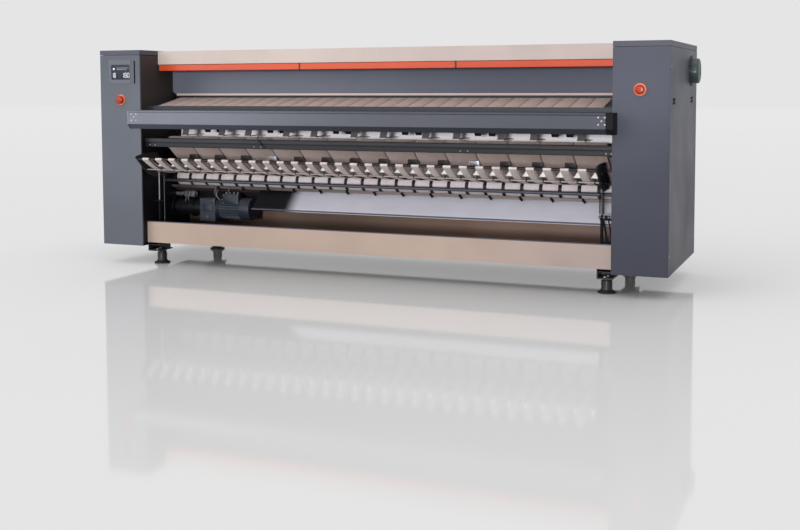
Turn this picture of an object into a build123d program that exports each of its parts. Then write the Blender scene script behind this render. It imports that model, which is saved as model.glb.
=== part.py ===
from build123d import *
import os
from math import asin, atan2, cos, hypot, pi, sin, tan

# Flatwork ironer with a front feed table and a front return, all sizes in millimetres.
# Places are given as x from the middle between the pillars, y back from the pillars'
# front plane, and z up from the floor. The three planes below turn them into the
# part's own frame, whose origin is on the floor under the middle of the whole machine.

os.makedirs("parts", exist_ok=True)

# ---- driving dimensions ----
machine_length = 4150      # over both pillars
pillar_width = 347.5
pillar_depth = 1124
machine_height = 1578
floor_gap = 144            # from the floor to the pillars' bottom
front_reach = 150          # how far the front beam stands before the pillars
fan_reach = 55             # how far the fan motor stands out of the right pillar
spigot_reach = 40          # how far the exhaust spigot stands out of the back
screw_head = 2.5
sheet = 2.5                # folded sheet steel
plate = 12                 # side frame plates
running_fit = 0.05         # radial play of a shaft in its bore
belt_play = 0.4            # gap between a belt and its roller

cylinder_y, cylinder_z, cylinder_r = 660, 960, 250
belt_pitch, belt_count = 110, 30

# ---- derived dimensions ----
outer_half = machine_length / 2
inner_half = outer_half - pillar_width
work_half = belt_pitch * belt_count / 2
wall_out = inner_half + plate
roller_half, roller_plug = work_half + 25, 14   # half length of a roller's tube, length of its end plugs
mid_x = -(fan_reach - screw_head) / 2
total_depth = front_reach + screw_head + pillar_depth + spigot_reach
front_y = front_reach + screw_head - total_depth / 2
sides = (-1, 1)


def side_plane(x):
    """Plane across the machine at x: its own axes are y back and z up, and it faces +X."""
    return Plane(origin=(mid_x + x, front_y, 0), x_dir=(0, 1, 0), z_dir=(1, 0, 0))


def front_plane(y):
    """Plane along the machine at y: its own axes are x and z up, and it faces the operator."""
    return Plane(origin=(mid_x, front_y + y, 0), x_dir=(1, 0, 0), z_dir=(0, -1, 0))


def floor_plane(z):
    """Level plane at height z: its own axes are x and y, and it faces up."""
    return Plane(origin=(mid_x, front_y, z))


def save(builder, name):
    """Label a finished piece and write it as one file."""
    builder.part.label = name
    export_step(builder.part, f"parts/{name}.step")


def block(x0, x1, y0, y1, z0, z1, mode=Mode.ADD):
    """Add a rectangular block between two corners to the part being made."""
    with BuildSketch(side_plane(x0)) as section:
        with Locations(((y0 + y1) / 2, (z0 + z1) / 2)):
            Rectangle(y1 - y0, z1 - z0)
    extrude(section.sketch, amount=x1 - x0, mode=mode)


def rod(x0, x1, y, z, radius, mode=Mode.ADD):
    """Add a round bar that runs along x to the part being made."""
    with BuildSketch(side_plane(x0)) as section:
        with Locations((y, z)):
            Circle(radius)
    extrude(section.sketch, amount=x1 - x0, mode=mode)


def ring(x0, x1, y, z, radius, bore):
    """Add a round ring whose axis runs along x to the part being made."""
    with BuildSketch(side_plane(x0)) as section:
        with Locations((y, z)):
            Circle(radius)
            Circle(bore, mode=Mode.SUBTRACT)
    extrude(section.sketch, amount=x1 - x0)


def sheet_outline(points, thickness):
    """Give the closed outline of a folded sheet: the points, then the same points set off
    to the left of the way they run, mitred at each fold."""
    headings = [atan2(b[1] - a[1], b[0] - a[0]) for a, b in zip(points, points[1:])]
    before = [headings[0]] + headings
    after = headings + [headings[-1]]
    inside = []
    for (y, z), one, two in zip(points, before, after):
        turn = (two - one + pi) % (2 * pi) - pi
        middle = one + turn / 2
        reach = thickness / cos(turn / 2)
        inside.append((y - reach * sin(middle), z + reach * cos(middle)))
    return list(points) + inside[::-1]


def folded_sheet(x0, x1, points, thickness=sheet):
    """Add a sheet folded along x, from the points of its section in y and z."""
    with BuildSketch(side_plane(x0)) as section:
        with BuildLine():
            Polyline(*sheet_outline(points, thickness), close=True)
        make_face()
    extrude(section.sketch, amount=x1 - x0)


def belt_line(wheels):
    """Draw the closed line of a belt round wheels (y, z, radius), anticlockwise seen from
    the right. A wheel with a negative radius is one that the belt passes on its outside."""
    count = len(wheels)
    headings = []
    for (y0, z0, r0), (y1, z1, r1) in zip(wheels, wheels[1:] + wheels[:1]):
        span = hypot(y1 - y0, z1 - z0)
        headings.append(atan2(z1 - z0, y1 - y0) + asin((r0 - r1) / span))
    arrive, leave = [], []
    for i in range(count):
        y, z, radius = wheels[i]
        turn = (headings[i] - headings[i - 1]) % (2 * pi)
        if radius < 0:
            turn -= 2 * pi
        start = headings[i - 1]
        on_wheel = [
            (y + radius * sin(angle), z - radius * cos(angle))
            for angle in (start, start + turn / 2, start + turn)
        ]
        ThreePointArc(*on_wheel)
        arrive.append(on_wheel[0])
        leave.append(on_wheel[2])
    for i in range(count):
        Line(leave[i], arrive[(i + 1) % count])


def belts(positions, width, wheels, thickness):
    """Add one closed belt at each x of its left edge, clear of its wheels by the play."""
    planes = [side_plane(x) for x in positions]
    with BuildSketch(*planes) as section:
        with BuildLine():
            belt_line([(y, z, r + belt_play + thickness if r > 0 else r - belt_play) for y, z, r in wheels])
        make_face()
        with BuildLine():
            belt_line([(y, z, r + belt_play if r > 0 else r - belt_play - thickness) for y, z, r in wheels])
        make_face(mode=Mode.SUBTRACT)
    extrude(section.sketch, amount=width)


def roller(name, y, z, radius, stub, wall=5):
    """Make a tube roller with open end plugs and a stub shaft at each end."""
    with BuildPart() as piece:
        ring(-roller_half, roller_half, y, z, radius, radius - wall)
        for start in (-roller_half, roller_half - roller_plug):
            with BuildSketch(side_plane(start)):
                with Locations((y, z)):
                    Circle(radius - wall)
                    with PolarLocations((radius - wall + stub) / 2, 4):
                        Circle((radius - wall - stub) / 4, mode=Mode.SUBTRACT)
            extrude(amount=roller_plug)
        rod(1 - inner_half, roller_plug - roller_half, y, z, stub)
        rod(roller_half - roller_plug, inner_half - 1, y, z, stub)
    save(piece, name)


def driven_roller(name, y, z, radius, wheels, wall=5):
    """Make a roller whose left stub runs into the left pillar and carries chain wheels,
    each (x of its middle, (teeth, pitch radius))."""
    with BuildPart() as piece:
        ring(-roller_half, roller_half, y, z, radius, radius - wall)
        for start in (-roller_half, roller_half - roller_plug):
            ring(start, start + roller_plug, y, z, radius - wall, stub_r - 1)
        rod(min(x for x, _ in wheels) - wheel_width, roller_plug - roller_half, y, z, stub_r)
        rod(roller_half - roller_plug, inner_half - 1, y, z, stub_r)
        for x, wheel in wheels:
            chain_wheel(x, y, z, *wheel)
    save(piece, name)


def chain_wheel(x, y, z, teeth, pitch_radius):
    """Add a chain wheel about x: a disc with one round seat for each roller of the chain."""
    seat = pi * pitch_radius / teeth / 2
    with BuildSketch(side_plane(x - wheel_width / 2)) as section:
        with Locations((y, z)):
            Circle(pitch_radius + seat * 0.4)
            with PolarLocations(pitch_radius, teeth):
                Circle(seat, mode=Mode.SUBTRACT)
    extrude(section.sketch, amount=wheel_width)


# ---- places of the rollers, each (y, z, radius) ----
feed_front = (120, 1151, 20)
feed_rear = (400, 1196, 30)
exit_wheel = (265, 895, 45)
drive_wheel = (700, 560, 45)
rear_wheel = (1010, 700, 45)
top_wheel = (1010, 1330, 45)
nip_wheel = (520, 1290, 45)
outfeed_front = (435, 619, 45)
outfeed_rear = (740, 385, 45)
comb_wheel = (250, 681, 11)
motor_y, motor_z = 465, 392

# ---- chain wheels in the left pillar, each (teeth, pitch radius) ----
drive_chain_wheel = (24, 75)
small_chain_wheel = (16, 50)
cylinder_chain_wheel = (75, 200)
feed_chain_wheel = (9, 24)
# x of the three chain planes: motor to drive roller, cylinder to feed belts, drive roller to outfeed
motor_chain_x, feed_chain_x, outfeed_chain_x = -1775, -1800, -1825
wheel_width = 8
stub_r = 15                # shaft stubs of the belt rollers

# ---- side frames: the plates between the pillars that carry every roller ----
journal_r = 50
frame_front, frame_back, frame_top = 15, 1105, 1540
journal_clearance, shaft_clearance = 8, 10   # how much wider the holes are than the shafts
left_holes = (drive_wheel, feed_rear, outfeed_rear, (motor_y, motor_z, 0))
with BuildPart() as side_frames:
    for x in (-wall_out, inner_half):
        block(x, x + plate, frame_front, frame_back, floor_gap + 4, frame_top)
        rod(x, x + plate, cylinder_y, cylinder_z, journal_r + journal_clearance, mode=Mode.SUBTRACT)
    for y, z, _ in left_holes:
        rod(-wall_out, -inner_half, y, z, stub_r + shaft_clearance, mode=Mode.SUBTRACT)
save(side_frames, "side_frames")

# ---- pillars ----
cap_height = 34
seam = 2                   # open seam between the cap and the panels under it
panel_top = machine_height - cap_height - seam
panel_return = 13          # depth of the front panels' folded edges
with BuildPart() as pillar_front_panels:
    for x in (-outer_half, inner_half):
        block(x, x + pillar_width, 0, sheet, floor_gap, panel_top)
        for edge in (x, x + pillar_width - sheet):
            block(edge, edge + sheet, 0, panel_return, floor_gap, panel_top)
save(pillar_front_panels, "pillar_front_panels")

fan_y, fan_z = 870, 1404
fan_hole_r, spigot_hole_r, spigot_x = 90, 77, 1875
slot_places = ((145, 1210), (897, 1212))
slot_length, slot_height = 100, 40
cover_screws = ((35, 1420), (1095, 1420), (35, 270), (1095, 270))
with BuildPart() as pillar_covers:
    for x in (-outer_half, outer_half - sheet):
        block(x, x + sheet, panel_return + 1, pillar_depth - sheet - 1, floor_gap, panel_top)
        for y, z in slot_places:
            block(x, x + sheet, y - slot_length / 2, y + slot_length / 2,
                  z - slot_height / 2, z + slot_height / 2, mode=Mode.SUBTRACT)
    rod(outer_half - sheet, outer_half, fan_y, fan_z, fan_hole_r, mode=Mode.SUBTRACT)
    for x in (-outer_half, inner_half):
        block(x, x + pillar_width, pillar_depth - sheet, pillar_depth, floor_gap, panel_top)
    with BuildSketch(front_plane(pillar_depth)):
        with Locations((spigot_x, fan_z)):
            Circle(spigot_hole_r)
    extrude(amount=sheet, mode=Mode.SUBTRACT)
save(pillar_covers, "pillar_covers")

with BuildPart() as pillar_top_caps:
    for x in (-outer_half, inner_half):
        block(x, x + pillar_width, 0, pillar_depth, panel_top + seam, machine_height)
        block(x + sheet, x + pillar_width - sheet, sheet, pillar_depth - sheet,
              panel_top + seam, machine_height - sheet, mode=Mode.SUBTRACT)
save(pillar_top_caps, "pillar_top_caps")

# ---- base frame and feet ----
channel_in, channel_out = inner_half - 102, inner_half - 2
channel_height, channel_wall = 50, 4
channel_front, channel_back = 64, 1060
foot_x, foot_front, foot_back = 1670, 160, 930
foot_r, stem_r, foot_rim = 58, 37, 10
foot_plate_low, foot_plate_high = 100, 108   # level plates on the feet, webbed up to the channels
plate_front, plate_back, web = 96, 70, 6     # how far a plate reaches before and behind its foot
cross_bars, cross_wall = (760, 1000), 3
with BuildPart() as base_frame:
    for side in sides:
        low, high = sorted((side * channel_in, side * channel_out))
        block(low, high, channel_front, channel_back, floor_gap, floor_gap + channel_height)
        block(low + channel_wall, high - channel_wall, channel_front, channel_back,
              floor_gap + channel_wall, floor_gap + channel_height - channel_wall, mode=Mode.SUBTRACT)
        for y in (foot_front, foot_back):
            block(low, high, y - plate_front, y + plate_back, foot_plate_low, foot_plate_high)
            block(low, high, y + stem_r + 1, y + stem_r + 1 + web, foot_plate_high, floor_gap)
            block(low, low + web, y - plate_front, y + stem_r + 1, foot_plate_high, floor_gap)
        low, high = sorted((side * channel_out, side * (outer_half - sheet)))
        block(low, high, frame_front, pillar_depth - 5, floor_gap, floor_gap + channel_wall)
    for y in cross_bars:
        block(-channel_in, channel_in, y, y + channel_height, floor_gap, floor_gap + channel_height)
        block(-channel_in, channel_in, y + cross_wall, y + channel_height - cross_wall,
              floor_gap + cross_wall, floor_gap + channel_height - cross_wall, mode=Mode.SUBTRACT)
save(base_frame, "base_frame")

with BuildPart() as levelling_feet:
    for side in sides:
        for y in (foot_front, foot_back):
            axis_plane = Plane(origin=(mid_x + side * foot_x, front_y + y, 0), x_dir=(1, 0, 0),
                               z_dir=(0, -1, 0))
            with BuildSketch(axis_plane) as foot_section:
                with BuildLine():
                    Polyline((0, 0), (foot_r, 0), (foot_r, foot_rim), (stem_r + 7, 20), (stem_r, 26),
                             (stem_r, foot_plate_low), (0, foot_plate_low), close=True)
                make_face()
            revolve(axis=Axis((mid_x + side * foot_x, front_y + y, 0), (0, 0, 1)))
save(levelling_feet, "levelling_feet")

# ---- top cover, rear cover and guard panel ----
cover_y, cover_low, cover_top, cover_back = 230, 1476, 1574, 1116
front_lip, back_lip = 20, 40
cover_half = inner_half - 1
with BuildPart() as top_cover:
    folded_sheet(-cover_half, cover_half,
                 [(cover_back, cover_top - back_lip), (cover_back, cover_top), (cover_y, cover_top),
                  (cover_y, cover_low), (cover_y + front_lip, cover_low)])
save(top_cover, "top_cover")

rear_y, rear_low, rear_top, rear_sheet = 1106, 260, 1560, 3
with BuildPart() as rear_cover:
    block(-cover_half, cover_half, rear_y, rear_y + rear_sheet, rear_low, rear_top)
    for z in (rear_low, rear_top - rear_sheet):
        block(-cover_half, cover_half, rear_y - 16, rear_y, z, z + rear_sheet)
save(rear_cover, "rear_cover")

guard_y, guard_low, guard_top, guard_corner = 420, 1256, 1475, 32
shelf_front = 301          # front edge of the shelf that joins the guard panel to the brackets' bar
with BuildPart() as guard_panel:
    with BuildSketch(front_plane(guard_y)) as panel_face:
        with Locations((0, (guard_low + guard_top) / 2)):
            Rectangle(2 * cover_half, guard_top - guard_low)
        fillet(panel_face.vertices().group_by(Axis.Z)[0], radius=guard_corner)
    extrude(amount=-sheet)
    block(-cover_half, cover_half, shelf_front, guard_y, guard_top - sheet, guard_top)
save(guard_panel, "guard_panel")

# ---- finger-guard flaps, hung from brackets ----
flap_low, flap_high = 1428, 1473
flap_pin_y, flap_pin_z, flap_pin_r = 237, 1466, 3
bracket_places = (-1721, -539, 631, 1700)
bracket_half, bracket_front, bracket_back = 5, 228, 300
bar_depth, pin_length = 12, 15
with BuildPart() as guard_brackets:
    for i, x in enumerate(bracket_places):
        block(x - bracket_half, x + bracket_half, bracket_front, bracket_back, flap_low + 4, flap_high)
        left_pin = pin_length if i > 0 else 0
        right_pin = pin_length if i < len(bracket_places) - 1 else 0
        rod(x - bracket_half - left_pin, x + bracket_half + right_pin, flap_pin_y, flap_pin_z, flap_pin_r)
    block(bracket_places[0], bracket_places[-1], bracket_back - bar_depth, bracket_back,
          flap_low + 4, flap_high)
save(guard_brackets, "guard_brackets")

flap_names = ("finger_guard_left", "finger_guard_middle", "finger_guard_right")
flap_y, flap_depth, flap_round = 236, 14, 5
hollow_z, hollow_depth, hollow_height, hollow_round = 1443, 9, 22, 3
for name, start, end in zip(flap_names, bracket_places, bracket_places[1:]):
    low, high = start + bracket_half + 1, end - bracket_half - 1
    with BuildPart() as flap:
        with BuildSketch(side_plane(low)) as flap_section:
            with Locations((flap_y, (flap_low + flap_high) / 2)):
                RectangleRounded(flap_depth, flap_high - flap_low, flap_round)
            with Locations((flap_y, hollow_z)):
                RectangleRounded(hollow_depth, hollow_height, hollow_round, mode=Mode.SUBTRACT)
            with Locations((flap_pin_y, flap_pin_z)):
                Circle(flap_pin_r + running_fit, mode=Mode.SUBTRACT)
        extrude(amount=high - low)
    save(flap, name)

# ---- front beam: a hollow section with a groove along its top edge and a sloped lower edge ----
beam_left, beam_right = -1722, 1718
left_cap, right_cap = 12, 45
beam_front, beam_back, beam_top, beam_low, beam_wall = -front_reach, -30, 1142, 1011, 5
slope_top, slope_back = 1046, -120
groove, groove_z = 3, 1129
beam_points = [(beam_front, slope_top), (beam_front, groove_z - groove), (beam_front + groove, groove_z),
               (beam_front, groove_z + groove), (beam_front, beam_top - 5), (beam_front + 5, beam_top),
               (beam_back, beam_top), (beam_back, beam_low), (slope_back, beam_low)]
hollow_front, hollow_back = beam_front + beam_wall + 1, beam_back - beam_wall
beam_hollow = [(hollow_front, slope_top + 2), (hollow_front, beam_top - beam_wall),
               (hollow_back, beam_top - beam_wall), (hollow_back, beam_low + beam_wall),
               (slope_back + 3, beam_low + beam_wall)]
with BuildPart() as front_beam:
    with BuildSketch(side_plane(beam_left)):
        with BuildLine():
            Polyline(*beam_points, close=True)
        make_face()
        with BuildLine():
            Polyline(*beam_hollow, close=True)
        make_face(mode=Mode.SUBTRACT)
    extrude(amount=beam_right - beam_left)
save(front_beam, "front_beam")

with BuildPart() as beam_end_caps:
    for x, width in ((beam_left - left_cap, left_cap), (beam_right, right_cap)):
        with BuildSketch(side_plane(x)):
            with BuildLine():
                Polyline((beam_front, slope_top - 2), (beam_front, beam_top - 4), (beam_front + 4, beam_top),
                         (beam_back, beam_top), (beam_back, beam_low - 1), (slope_back, beam_low - 1),
                         close=True)
            make_face()
        extrude(amount=width)
save(beam_end_caps, "beam_end_caps")

bracket_plate, bracket_reach, bracket_low, bracket_high = 10, 185, 1034, 1124
with BuildPart() as beam_brackets:
    for x in (-inner_half, inner_half - bracket_plate):
        block(x, x + bracket_plate, beam_back, bracket_reach, bracket_low, bracket_high)
save(beam_brackets, "beam_brackets")

# ---- feed table ----
belt_width, feed_thickness = 106, 2.5
feed_starts = [(i - (belt_count - 1) / 2) * belt_pitch - belt_width / 2 for i in range(belt_count)]
rail_y, rail_top, apron_z, rail_wall, bed_wall = 84, 1172, 1138, 4, 4
with BuildPart() as feed_table_frame:
    folded_sheet(-cover_half, cover_half, [(beam_back + 1, apron_z), (rail_y + rail_wall, apron_z),
                                           (rail_y + rail_wall, rail_top)], rail_wall)
    slope = atan2(feed_rear[1] + feed_rear[2] - feed_front[1] - feed_front[2], feed_rear[0] - feed_front[0])
    bed_front, bed_back = feed_front[0] + 30, feed_rear[0] - 40
    bed_z = [feed_front[1] + feed_front[2] - 1 + (y - feed_front[0]) * tan(slope)
             for y in (bed_front, bed_back)]
    with BuildSketch(side_plane(-cover_half)):
        with BuildLine():
            Polyline((bed_front, bed_z[0]), (bed_front, bed_z[0] - bed_wall),
                     (bed_back, bed_z[1] - bed_wall), (bed_back, bed_z[1]), close=True)
        make_face()
    extrude(amount=2 * cover_half)
save(feed_table_frame, "feed_table_frame")

with BuildPart() as feed_belts:
    belts(feed_starts, belt_width, [feed_front, feed_rear], feed_thickness)
save(feed_belts, "feed_belts")

roller("feed_front_roller", *feed_front, stub=8, wall=3)

# ---- lower beam, scrapers and belt guides ----
lower_front, lower_back, lower_low, lower_high, lower_wall = 53, 93, 871, 935, 3
with BuildPart() as lower_beam:
    block(-inner_half, inner_half, lower_front, lower_back, lower_low, lower_high)
    block(-inner_half, inner_half, lower_front + lower_wall, lower_back - lower_wall,
          lower_low + lower_wall, lower_high - lower_wall, mode=Mode.SUBTRACT)
save(lower_beam, "lower_beam")

pair_pitch, pair_half, arm_width, arms_middle = 530, 110, 48, 10
arm_places = [k * pair_pitch + side * pair_half + arms_middle for k in range(-3, 4) for side in sides
              if abs(k * pair_pitch + side * pair_half) < 1550]
arm_points = [(206, 1010), (214, 1010), (190, 958), (182, 958)]
foot_points = [(174, 950), (174, 957.5), (400, 957.5), (408, 956), (400, 954), (186, 954), (186, 950)]
foot_overhang = 3          # how far a scraper foot is wider than its arm, at either side
scraper_beam_y, scraper_beam_depth, scraper_beam_low, scraper_beam_high = 205, 40, 1008, 1040
with BuildPart() as scraper_arms:
    block(-inner_half, inner_half, scraper_beam_y, scraper_beam_y + scraper_beam_depth,
          scraper_beam_low, scraper_beam_high)
    with BuildSketch(*[side_plane(x - arm_width / 2) for x in arm_places]):
        with BuildLine():
            Polyline(*arm_points, close=True)
        make_face()
    extrude(amount=arm_width)
save(scraper_arms, "scraper_arms")

with BuildPart() as scraper_feet:
    with BuildSketch(*[side_plane(x - arm_width / 2 - foot_overhang) for x in arm_places]):
        with BuildLine():
            Polyline(*foot_points, close=True)
        make_face()
    extrude(amount=arm_width + 2 * foot_overhang)
save(scraper_feet, "scraper_feet")

# upper guide tabs hang under the scraper beam, lower ones stand on a square bar of their own
ironing_pitch, ironing_count = 2 * belt_pitch, belt_count // 2
ironing_gaps = [(i - (ironing_count - 2) / 2) * ironing_pitch for i in range(ironing_count - 1)]
upper_tabs = [(k + 0.5) * 521.6 + 9 + step for k in range(-3, 3) for step in (0, 98)]
tab_thickness, upper_tab_y, upper_tab_low, upper_tab_top = 3, 222, 977, 1007.5
lower_tab_y, lower_tab_middle, lower_tab_low, lower_tab_high = 280, -28, 775, 808
upper_tab_half, upper_tip_half, lower_tab_half, lower_tip_half = 30, 21, 40, 36
guide_bar = 20             # depth and height of the lower tabs' square bar
with BuildPart() as belt_guides:
    block(-inner_half, inner_half, lower_tab_y + 5 - guide_bar, lower_tab_y + 5,
          lower_tab_low - guide_bar, lower_tab_low)
    for x in upper_tabs:
        with BuildSketch(front_plane(upper_tab_y)):
            with BuildLine():
                Polyline((x - upper_tab_half, upper_tab_top), (x + upper_tab_half, upper_tab_top),
                         (x + upper_tip_half, upper_tab_low), (x - upper_tip_half, upper_tab_low),
                         close=True)
            make_face()
        extrude(amount=tab_thickness)
    for x in [gap + lower_tab_middle for gap in ironing_gaps]:
        with BuildSketch(front_plane(lower_tab_y)):
            with BuildLine():
                Polyline((x - lower_tab_half, lower_tab_low), (x + lower_tab_half, lower_tab_low),
                         (x + lower_tip_half, lower_tab_high), (x - lower_tip_half, lower_tab_high),
                         close=True)
            make_face()
        extrude(amount=tab_thickness)
save(belt_guides, "belt_guides")

# ---- heated cylinder ----
bearing_out = wall_out + 50
shell_wall, end_inset, end_disc = 10, 10, 15
with BuildPart() as heated_cylinder:
    ring(-work_half, work_half, cylinder_y, cylinder_z, cylinder_r, cylinder_r - shell_wall)
    for x in (-work_half + end_inset, work_half - end_inset - end_disc):
        with BuildSketch(side_plane(x)):
            with Locations((cylinder_y, cylinder_z)):
                Circle(cylinder_r - shell_wall)
                with PolarLocations(150, 6):
                    Circle(42, mode=Mode.SUBTRACT)
        extrude(amount=end_disc)
    inner_end = work_half - end_inset - end_disc
    rod(feed_chain_x - wheel_width, -inner_end, cylinder_y, cylinder_z, journal_r)
    rod(inner_end, bearing_out, cylinder_y, cylinder_z, journal_r)
    chain_wheel(feed_chain_x, cylinder_y, cylinder_z, *cylinder_chain_wheel)
save(heated_cylinder, "heated_cylinder")

# ---- ironing belts and their rollers ----
ironing_width, ironing_thickness = 214, 3
ironing_starts = [(i - (ironing_count - 1) / 2) * ironing_pitch - ironing_width / 2
                  for i in range(ironing_count)]
ironing_wheels = [exit_wheel, drive_wheel, rear_wheel, top_wheel, nip_wheel,
                  (cylinder_y, cylinder_z, -cylinder_r)]
with BuildPart() as ironing_belts:
    belts(ironing_starts, ironing_width, ironing_wheels, ironing_thickness)
save(ironing_belts, "ironing_belts")

roller("exit_roller", *exit_wheel, stub=stub_r)
roller("rear_roller", *rear_wheel, stub=stub_r)
roller("top_roller", *top_wheel, stub=stub_r)
roller("nip_roller", *nip_wheel, stub=stub_r)
driven_roller("drive_roller", *drive_wheel, ((motor_chain_x, drive_chain_wheel),
                                             (outfeed_chain_x, small_chain_wheel)))
driven_roller("feed_rear_roller", *feed_rear, ((feed_chain_x, feed_chain_wheel),), wall=4)
driven_roller("outfeed_rear_roller", *outfeed_rear, ((outfeed_chain_x, small_chain_wheel),))
roller("outfeed_front_roller", *outfeed_front, stub=stub_r)

# ---- outfeed conveyor, the round bar before it and its guide strip ----
outfeed_count, outfeed_pitch, outfeed_width = 26, 130.4, 106
outfeed_starts = [(i - (outfeed_count - 1) / 2) * outfeed_pitch - outfeed_width / 2
                  for i in range(outfeed_count)]
with BuildPart() as outfeed_belts:
    belts(outfeed_starts, outfeed_width, [outfeed_front, outfeed_rear], feed_thickness)
save(outfeed_belts, "outfeed_belts")

bar_right, bar_y, bar_z, bar_r = 1690, 300, 608, 12
with BuildPart() as outfeed_bar:
    rod(-inner_half, bar_right, bar_y, bar_z, bar_r)
    block(bar_right, bar_right + 6, bar_y - 16, bar_y + 16, bar_z - 18, bar_z + 18)
    block(bar_right + 6, inner_half, bar_y - 8, bar_y + 8, bar_z - 8, bar_z + 8)
save(outfeed_bar, "outfeed_bar")

hook_half, hook_low, hook_high = 4, 543, 562
hook_places = [184 + 213.8 * i for i in range(-7, 7)]
strip_points = [(386, 548), (386, 566), (392, 566), (455, 520)]
with BuildPart() as outfeed_guide:
    folded_sheet(-cover_half, cover_half, strip_points, 2)
    for x in hook_places:
        block(x - hook_half, x + hook_half, 380, 384, hook_low, hook_high)
save(outfeed_guide, "outfeed_guide")

# ---- comb conveyor: tilts about the axis of its roller ----
comb_x, comb_half, comb_plate = -27.5, 1675.5, 8
strip_x, strip_width, strip_pitch = -36, 53, 110.16
nose = (-74, 790, 7)
sag_y, sag_z, sag_r = 230, 1175, 480   # both runs of the slack strips hang along arcs about this point
comb_points = [(-102, 803), (-90, 811), (-2, 826), (165, 826), (235, 745), (285, 715), (285, 650),
               (140, 645), (48, 672)]
comb_pin_y, comb_pin_z, comb_pin_r, comb_pin_length = 165, 692, 6, 22
comb_stub_r = 7
with BuildPart() as comb_side_plates:
    for x in (comb_x - comb_half - comb_plate, comb_x + comb_half):
        with BuildSketch(side_plane(x)):
            with BuildLine():
                Polyline(*comb_points, close=True)
            make_face()
            with Locations(comb_wheel[:2]):
                Circle(comb_stub_r + running_fit, mode=Mode.SUBTRACT)
        extrude(amount=comb_plate)
    for low in (comb_x - comb_half, comb_x + comb_half - comb_pin_length):
        rod(low, low + comb_pin_length, comb_pin_y, comb_pin_z, comb_pin_r)
save(comb_side_plates, "comb_side_plates")

finger_y, finger_bar_z, finger_bar_r = 40, 706, 5
with BuildPart() as comb_bars:
    rod(comb_x - comb_half, comb_x + comb_half, *nose)
    rod(comb_x - comb_half, comb_x + comb_half, finger_y, finger_bar_z, finger_bar_r)
save(comb_bars, "comb_bars")

strip_middles = [strip_x + (i - (belt_count - 1) / 2) * strip_pitch for i in range(belt_count)]
strip_thickness, strip_gap = 2, 14
with BuildPart() as comb_belts:
    belts([x - strip_width / 2 for x in strip_middles], strip_width,
          [comb_wheel, (sag_y, sag_z, -sag_r), nose, (sag_y, sag_z, sag_r + strip_gap)], strip_thickness)
save(comb_belts, "comb_belts")

finger_half, finger_low, finger_tip = 23, 732.5, 768
with BuildPart() as comb_fingers:
    with BuildSketch(front_plane(finger_y + 2)):
        for x in [x + strip_pitch / 2 for x in strip_middles]:
            with BuildLine():
                ThreePointArc((x - finger_half, finger_low), (x - 9, finger_low + 13), (x - 2, finger_tip))
                Line((x - 2, finger_tip), (x + 2, finger_tip))
                ThreePointArc((x + 2, finger_tip), (x + 9, finger_low + 13), (x + finger_half, finger_low))
                Polyline((x + finger_half, finger_low), (x + 4, finger_low),
                         (x + 4, finger_bar_z + finger_bar_r), (x - 4, finger_bar_z + finger_bar_r),
                         (x - 4, finger_low), (x - finger_half, finger_low))
            make_face()
    extrude(amount=4)
save(comb_fingers, "comb_fingers")

with BuildPart() as comb_roller:
    rod(comb_x - comb_half + 6, comb_x + comb_half - 6, *comb_wheel)
    rod(1 - inner_half, inner_half - 1, *comb_wheel[:2], comb_stub_r)
save(comb_roller, "comb_roller")

# ---- lift struts of the comb ----
strut_y, strut_low, strut_top, rod_low = comb_pin_y, floor_gap + 54, 470, 330
strut_places = (comb_x - comb_half + 14, comb_x + comb_half - 14)
barrel_r, lift_rod_r, barrel_floor = 10, 5, 60
arm_low, arm_high, arm_half = 458, 470, 9    # level arm from the side frame that steadies each barrel
eye_play, eye_half = 3, 6  # the comb pin swings a little inside the rod's eye
with BuildPart() as lift_barrels:
    for x in strut_places:
        with BuildSketch(floor_plane(strut_low)):
            with Locations((x, strut_y)):
                Circle(barrel_r)
        extrude(amount=strut_top - strut_low)
        wall = inner_half if x > 0 else -inner_half
        block(*sorted((x, wall)), strut_y - arm_half, strut_y + arm_half, arm_low, arm_high)
        with BuildSketch(floor_plane(strut_low + barrel_floor)):
            with Locations((x, strut_y)):
                Circle(lift_rod_r + running_fit)
        extrude(amount=strut_top - strut_low, mode=Mode.SUBTRACT)
        with BuildSketch(floor_plane(strut_low)):
            with Locations((x, strut_y)):
                Rectangle(32, 60)
        extrude(amount=8)
save(lift_barrels, "lift_barrels")

with BuildPart() as lift_rods:
    for x in strut_places:
        with BuildSketch(floor_plane(rod_low)):
            with Locations((x, strut_y)):
                Circle(lift_rod_r)
        extrude(amount=comb_pin_z - 12 - rod_low)
        ring(x - eye_half, x + eye_half, comb_pin_y, comb_pin_z, 15, comb_pin_r + eye_play)
save(lift_rods, "lift_rods")

# ---- delivery slide, which starts right of the motor, and collection tray ----
slide_left = -965
slide_points = [(410, 546), (288, 430), (276, 412), (266, 412), (262, 420)]
with BuildPart() as delivery_slide:
    folded_sheet(slide_left, cover_half, slide_points, 2)
save(delivery_slide, "delivery_slide")

tray_front, tray_back, tray_low, tray_high, tray_rear_high = 60, 620, 164, 318, 400
tray_floor = floor_gap + 52
tray_half = inner_half - 1
with BuildPart() as collection_tray:
    folded_sheet(-tray_half, tray_half, [(tray_front + 14, tray_high), (tray_front, tray_high),
                                         (tray_front, tray_low)], 2)
    block(-tray_half, tray_half, tray_front + 2, tray_back, tray_floor, tray_floor + 2)
    block(-tray_half, tray_half, tray_back, tray_back + 2, tray_floor, tray_rear_high)
save(collection_tray, "collection_tray")

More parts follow.
